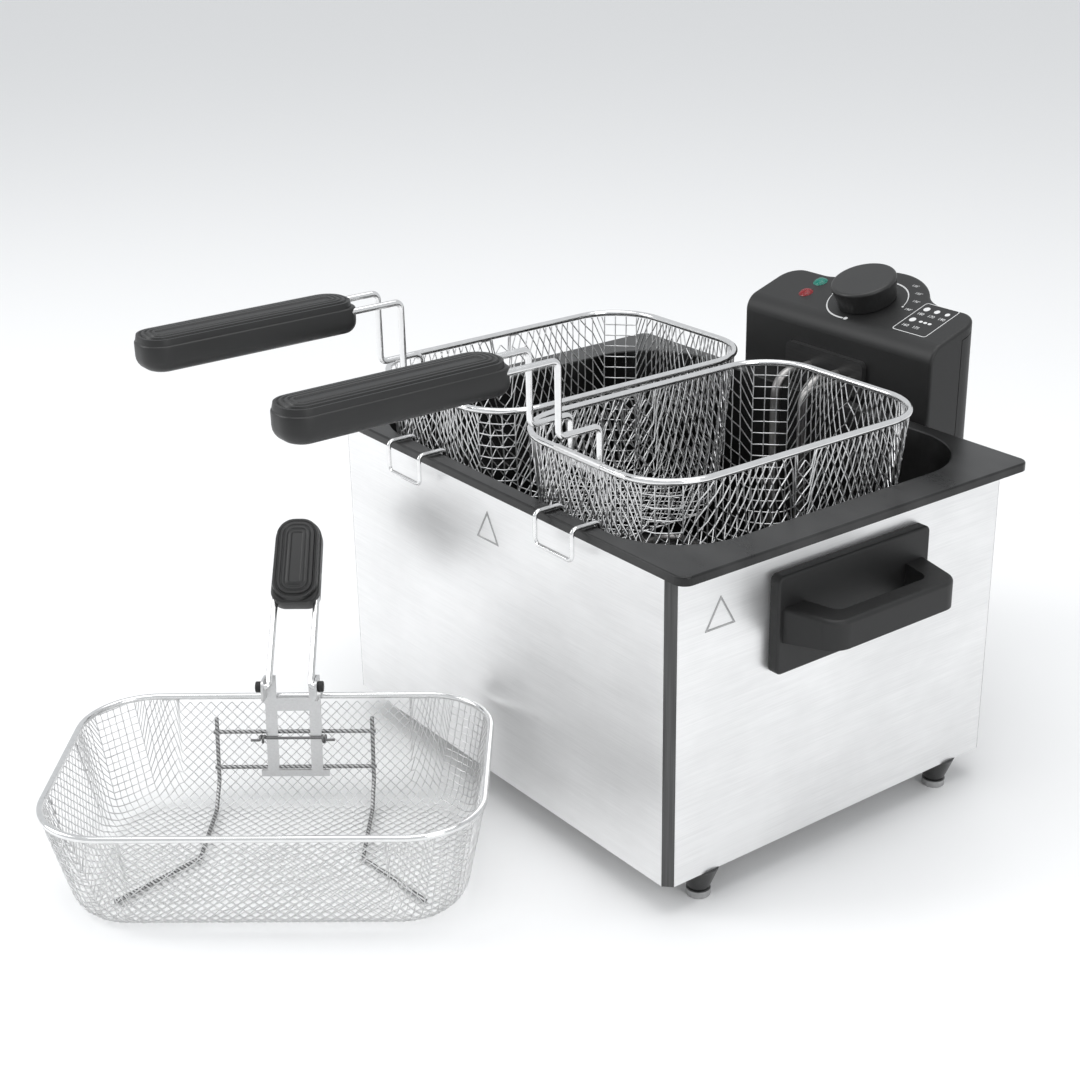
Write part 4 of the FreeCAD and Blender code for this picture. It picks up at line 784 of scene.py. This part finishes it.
dress(chrome, "basket_large_rim", "basket_large_handle_wire")
# The twist's grooves are painted dark and its crests light: painted shade and painted highlight along
# the twist.
twist_finish_with_painted_shade = Finish("twisted_wire_painted_shade", Metallic=1.0)
twist_run = twist_finish_with_painted_shade.spread((1, 1, 1), turn=(0, 0, LARGE_TURN))
twist_and_painted_shade = (twist_finish_with_painted_shade.along(twist_run, 0) * 1900.0 + twist_finish_with_painted_shade.along(twist_run, 1) * 1900.0
         + twist_finish_with_painted_shade.along(twist_run, 2) * 1900.0).wave() * 0.5 + 0.5
twist_finish_with_painted_shade.show(colour=twist_finish_with_painted_shade.blend(twist_and_painted_shade, grey(0.16), grey(0.52)), roughness=0.26 + twist_and_painted_shade * 0.12,
             height=twist_and_painted_shade, depth=0.0003)
dress(twist_finish_with_painted_shade, "basket_large_frame")

# ---- Large basket: bracket, spring and hinge ----
# The bracket is pressed from sheet steel and welded to the frame. The handle turns in its ears,
# in two dark bushes, against a spring of hard wire whose ends curl round beside the straps.
dress(sheet_steel, "basket_large_bracket")
spring_steel = Finish("spring_steel", Metallic=1.0)
temper = spring_steel.noise(spring_steel.spread((800, 800, 800)))
spring_steel.show(colour=spring_steel.blend(temper, grey(0.13), grey(0.24)),
                  roughness=0.28 + temper * 0.14)
WALL_OUT, WALL_UP = 81.4, 67.0
WALL_TAPER, WALL_RISE = 13.0, 65.0
WALL_SLOPE = math.atan(WALL_TAPER / WALL_RISE)
HINGE_IN, HINGE_UP = 13.9, 10.0
BESIDE_WALL = (LARGE_AT @ Matrix.Translation((0, WALL_OUT, WALL_UP))
               @ Matrix.Rotation(-WALL_SLOPE, 4, "X"))
CURL_R = 2.1
SPRING_STEPS = 40
spring_line = []
for step in range(-SPRING_STEPS, SPRING_STEPS + 1):
    out_way = abs(step) / SPRING_STEPS
    hand = math.copysign(1.0, step)
    curl = min(1.0, max(0.0, (out_way - 0.35) / 0.45)) * 3 * math.pi
    spring_x = 17.4 * min(1.0, out_way / 0.35) + 3.0 * curl / (3 * math.pi)
    spring_x += 5.4 * max(0.0, (out_way - 0.8) / 0.2)
    spring_line.append((hand * spring_x, -5.9 - CURL_R * (1 - math.cos(curl)),
                        -25.0 + CURL_R * math.sin(curl)))
spring = line_mesh("basket_large_curled_spring", [spring_line], 0.85, 2)
spring.transform(BESIDE_WALL)
fit(spring, spring_steel, "large_basket", "chrome_wire", "basket_large_spring")

BUSH_OUT = 18.9
bushes = bmesh.new()
for hand in (-1, 1):
    bush_place = (Matrix.Translation((hand * BUSH_OUT, -HINGE_IN, HINGE_UP))
                  @ Matrix.Rotation(math.radians(90), 4, "Y"))
    bush = bmesh.ops.create_cone(bushes, cap_ends=True, segments=24, radius1=3.4, radius2=3.4, depth=3.6,
                                 matrix=bush_place)["verts"]
    rims = [edge for edge in bushes.edges if all(corner in bush for corner in edge.verts)
            and abs(edge.verts[0].co.x - edge.verts[1].co.x) < 0.01]
    bmesh.ops.bevel(bushes, geom=rims, offset=0.7, offset_type="OFFSET", segments=3, profile=0.5,
                    affect="EDGES", material=-1, clamp_overlap=True)
fit(solid(bushes, "basket_large_bushes", BESIDE_WALL), shell_plastic, "large_basket", "housing_plastic")

# ---- Large basket: grip ----
# A short block of the same black plastic on the folding handle, a little wider at the wires,
# with low ridges along its top.
HINGE = Vector((0, WALL_OUT - HINGE_IN * math.cos(WALL_SLOPE) + HINGE_UP * math.sin(WALL_SLOPE),
                WALL_UP + HINGE_IN * math.sin(WALL_SLOPE) + HINGE_UP * math.cos(WALL_SLOPE)))
HANDLE_RAISED = math.radians(40)
GRIP_FROM_HINGE = 54.0
RAISED = LARGE_AT @ Matrix.Translation(HINGE) @ Matrix.Rotation(HANDLE_RAISED, 4, "X")
large_grip_place = (RAISED @ Matrix.Translation((0, GRIP_FROM_HINGE, 0))
                    @ Matrix.Rotation(math.pi, 4, "Z"))
large_grip = solid(moulded_grip(29.5, 57.5, 22.0, 8.0, 4, 0.35, 0.025), "basket_large_ribbed_grip",
                   large_grip_place, 30.0)
fit(large_grip, grip_plastic, "large_basket_handle", "grip_plastic", "basket_large_grip")

# ---- Floor, light and camera ----
# A plain pale floor under soft studio light: a large overhead panel, a key at the left, a fill at
# the right, and an even pale sky.
floor_shape = bmesh.new()
bmesh.ops.create_circle(floor_shape, cap_ends=True, segments=96, radius=60.0)
floor_mesh = bpy.data.meshes.new("floor")
floor_shape.to_mesh(floor_mesh)
floor_shape.free()
floor_paint = Finish("floor_paint", Roughness=0.7)
floor_paint.show(colour=grey(0.90))
floor_mesh.materials.append(floor_paint.material)
floor = bpy.data.objects.new("floor", floor_mesh)
bpy.context.scene.collection.objects.link(floor)

world = bpy.data.worlds.new("studio")
bpy.context.scene.world = world
world.use_nodes = True
backdrop = world.node_tree.nodes["Background"]
backdrop.inputs["Color"].default_value = (0.92, 0.94, 0.96, 1)
backdrop.inputs["Strength"].default_value = 0.80


def soft_light(name, place, aim, size, power):
    """Square area light that looks at a point."""
    lamp = bpy.data.lights.new(name, "AREA")
    lamp.shape = "RECTANGLE"
    lamp.size, lamp.size_y = size
    lamp.energy = power
    holder = bpy.data.objects.new(name, lamp)
    facing = (Vector(aim) - Vector(place)).to_track_quat("-Z", "Y").to_matrix().to_4x4()
    holder.matrix_world = Matrix.Translation(place) @ facing
    bpy.context.scene.collection.objects.link(holder)


soft_light("overhead", (0.1, 0.0, 1.9), (0, 0, 0.1), (1.8, 1.4), 16)
soft_light("key", (-1.1, -1.5, 1.3), (0, 0, 0.15), (0.9, 1.2), 14)
soft_light("fill", (1.9, -0.1, 0.9), (0, 0, 0.1), (0.8, 1.2), 7)

CAMERA_TURN = math.radians(53.41)
CAMERA_RISE = math.radians(22.84)
CAMERA_ROLL = math.radians(-1.07)
CAMERA_AT = Vector((804.7, -691.3, 589.6))
behind = Vector((math.sin(CAMERA_TURN) * math.cos(CAMERA_RISE),
                 -math.cos(CAMERA_TURN) * math.cos(CAMERA_RISE), math.sin(CAMERA_RISE)))
level_right = Vector((math.cos(CAMERA_TURN), math.sin(CAMERA_TURN), 0))
level_up = behind.cross(level_right)
right = level_right * math.cos(CAMERA_ROLL) + level_up * math.sin(CAMERA_ROLL)
upward = level_up * math.cos(CAMERA_ROLL) - level_right * math.sin(CAMERA_ROLL)
camera_data = bpy.data.cameras.new("camera")
camera_data.sensor_width = 36.0
camera_data.lens = 60.95
camera_data.clip_end = 200.0
camera = bpy.data.objects.new("camera", camera_data)
turning = Matrix((right, upward, behind)).transposed().to_4x4()
camera.matrix_world = Matrix.Translation(HOUSING @ CAMERA_AT) @ turning
bpy.context.scene.collection.objects.link(camera)
bpy.context.scene.camera = camera
bpy.context.scene.view_settings.view_transform = "Standard"
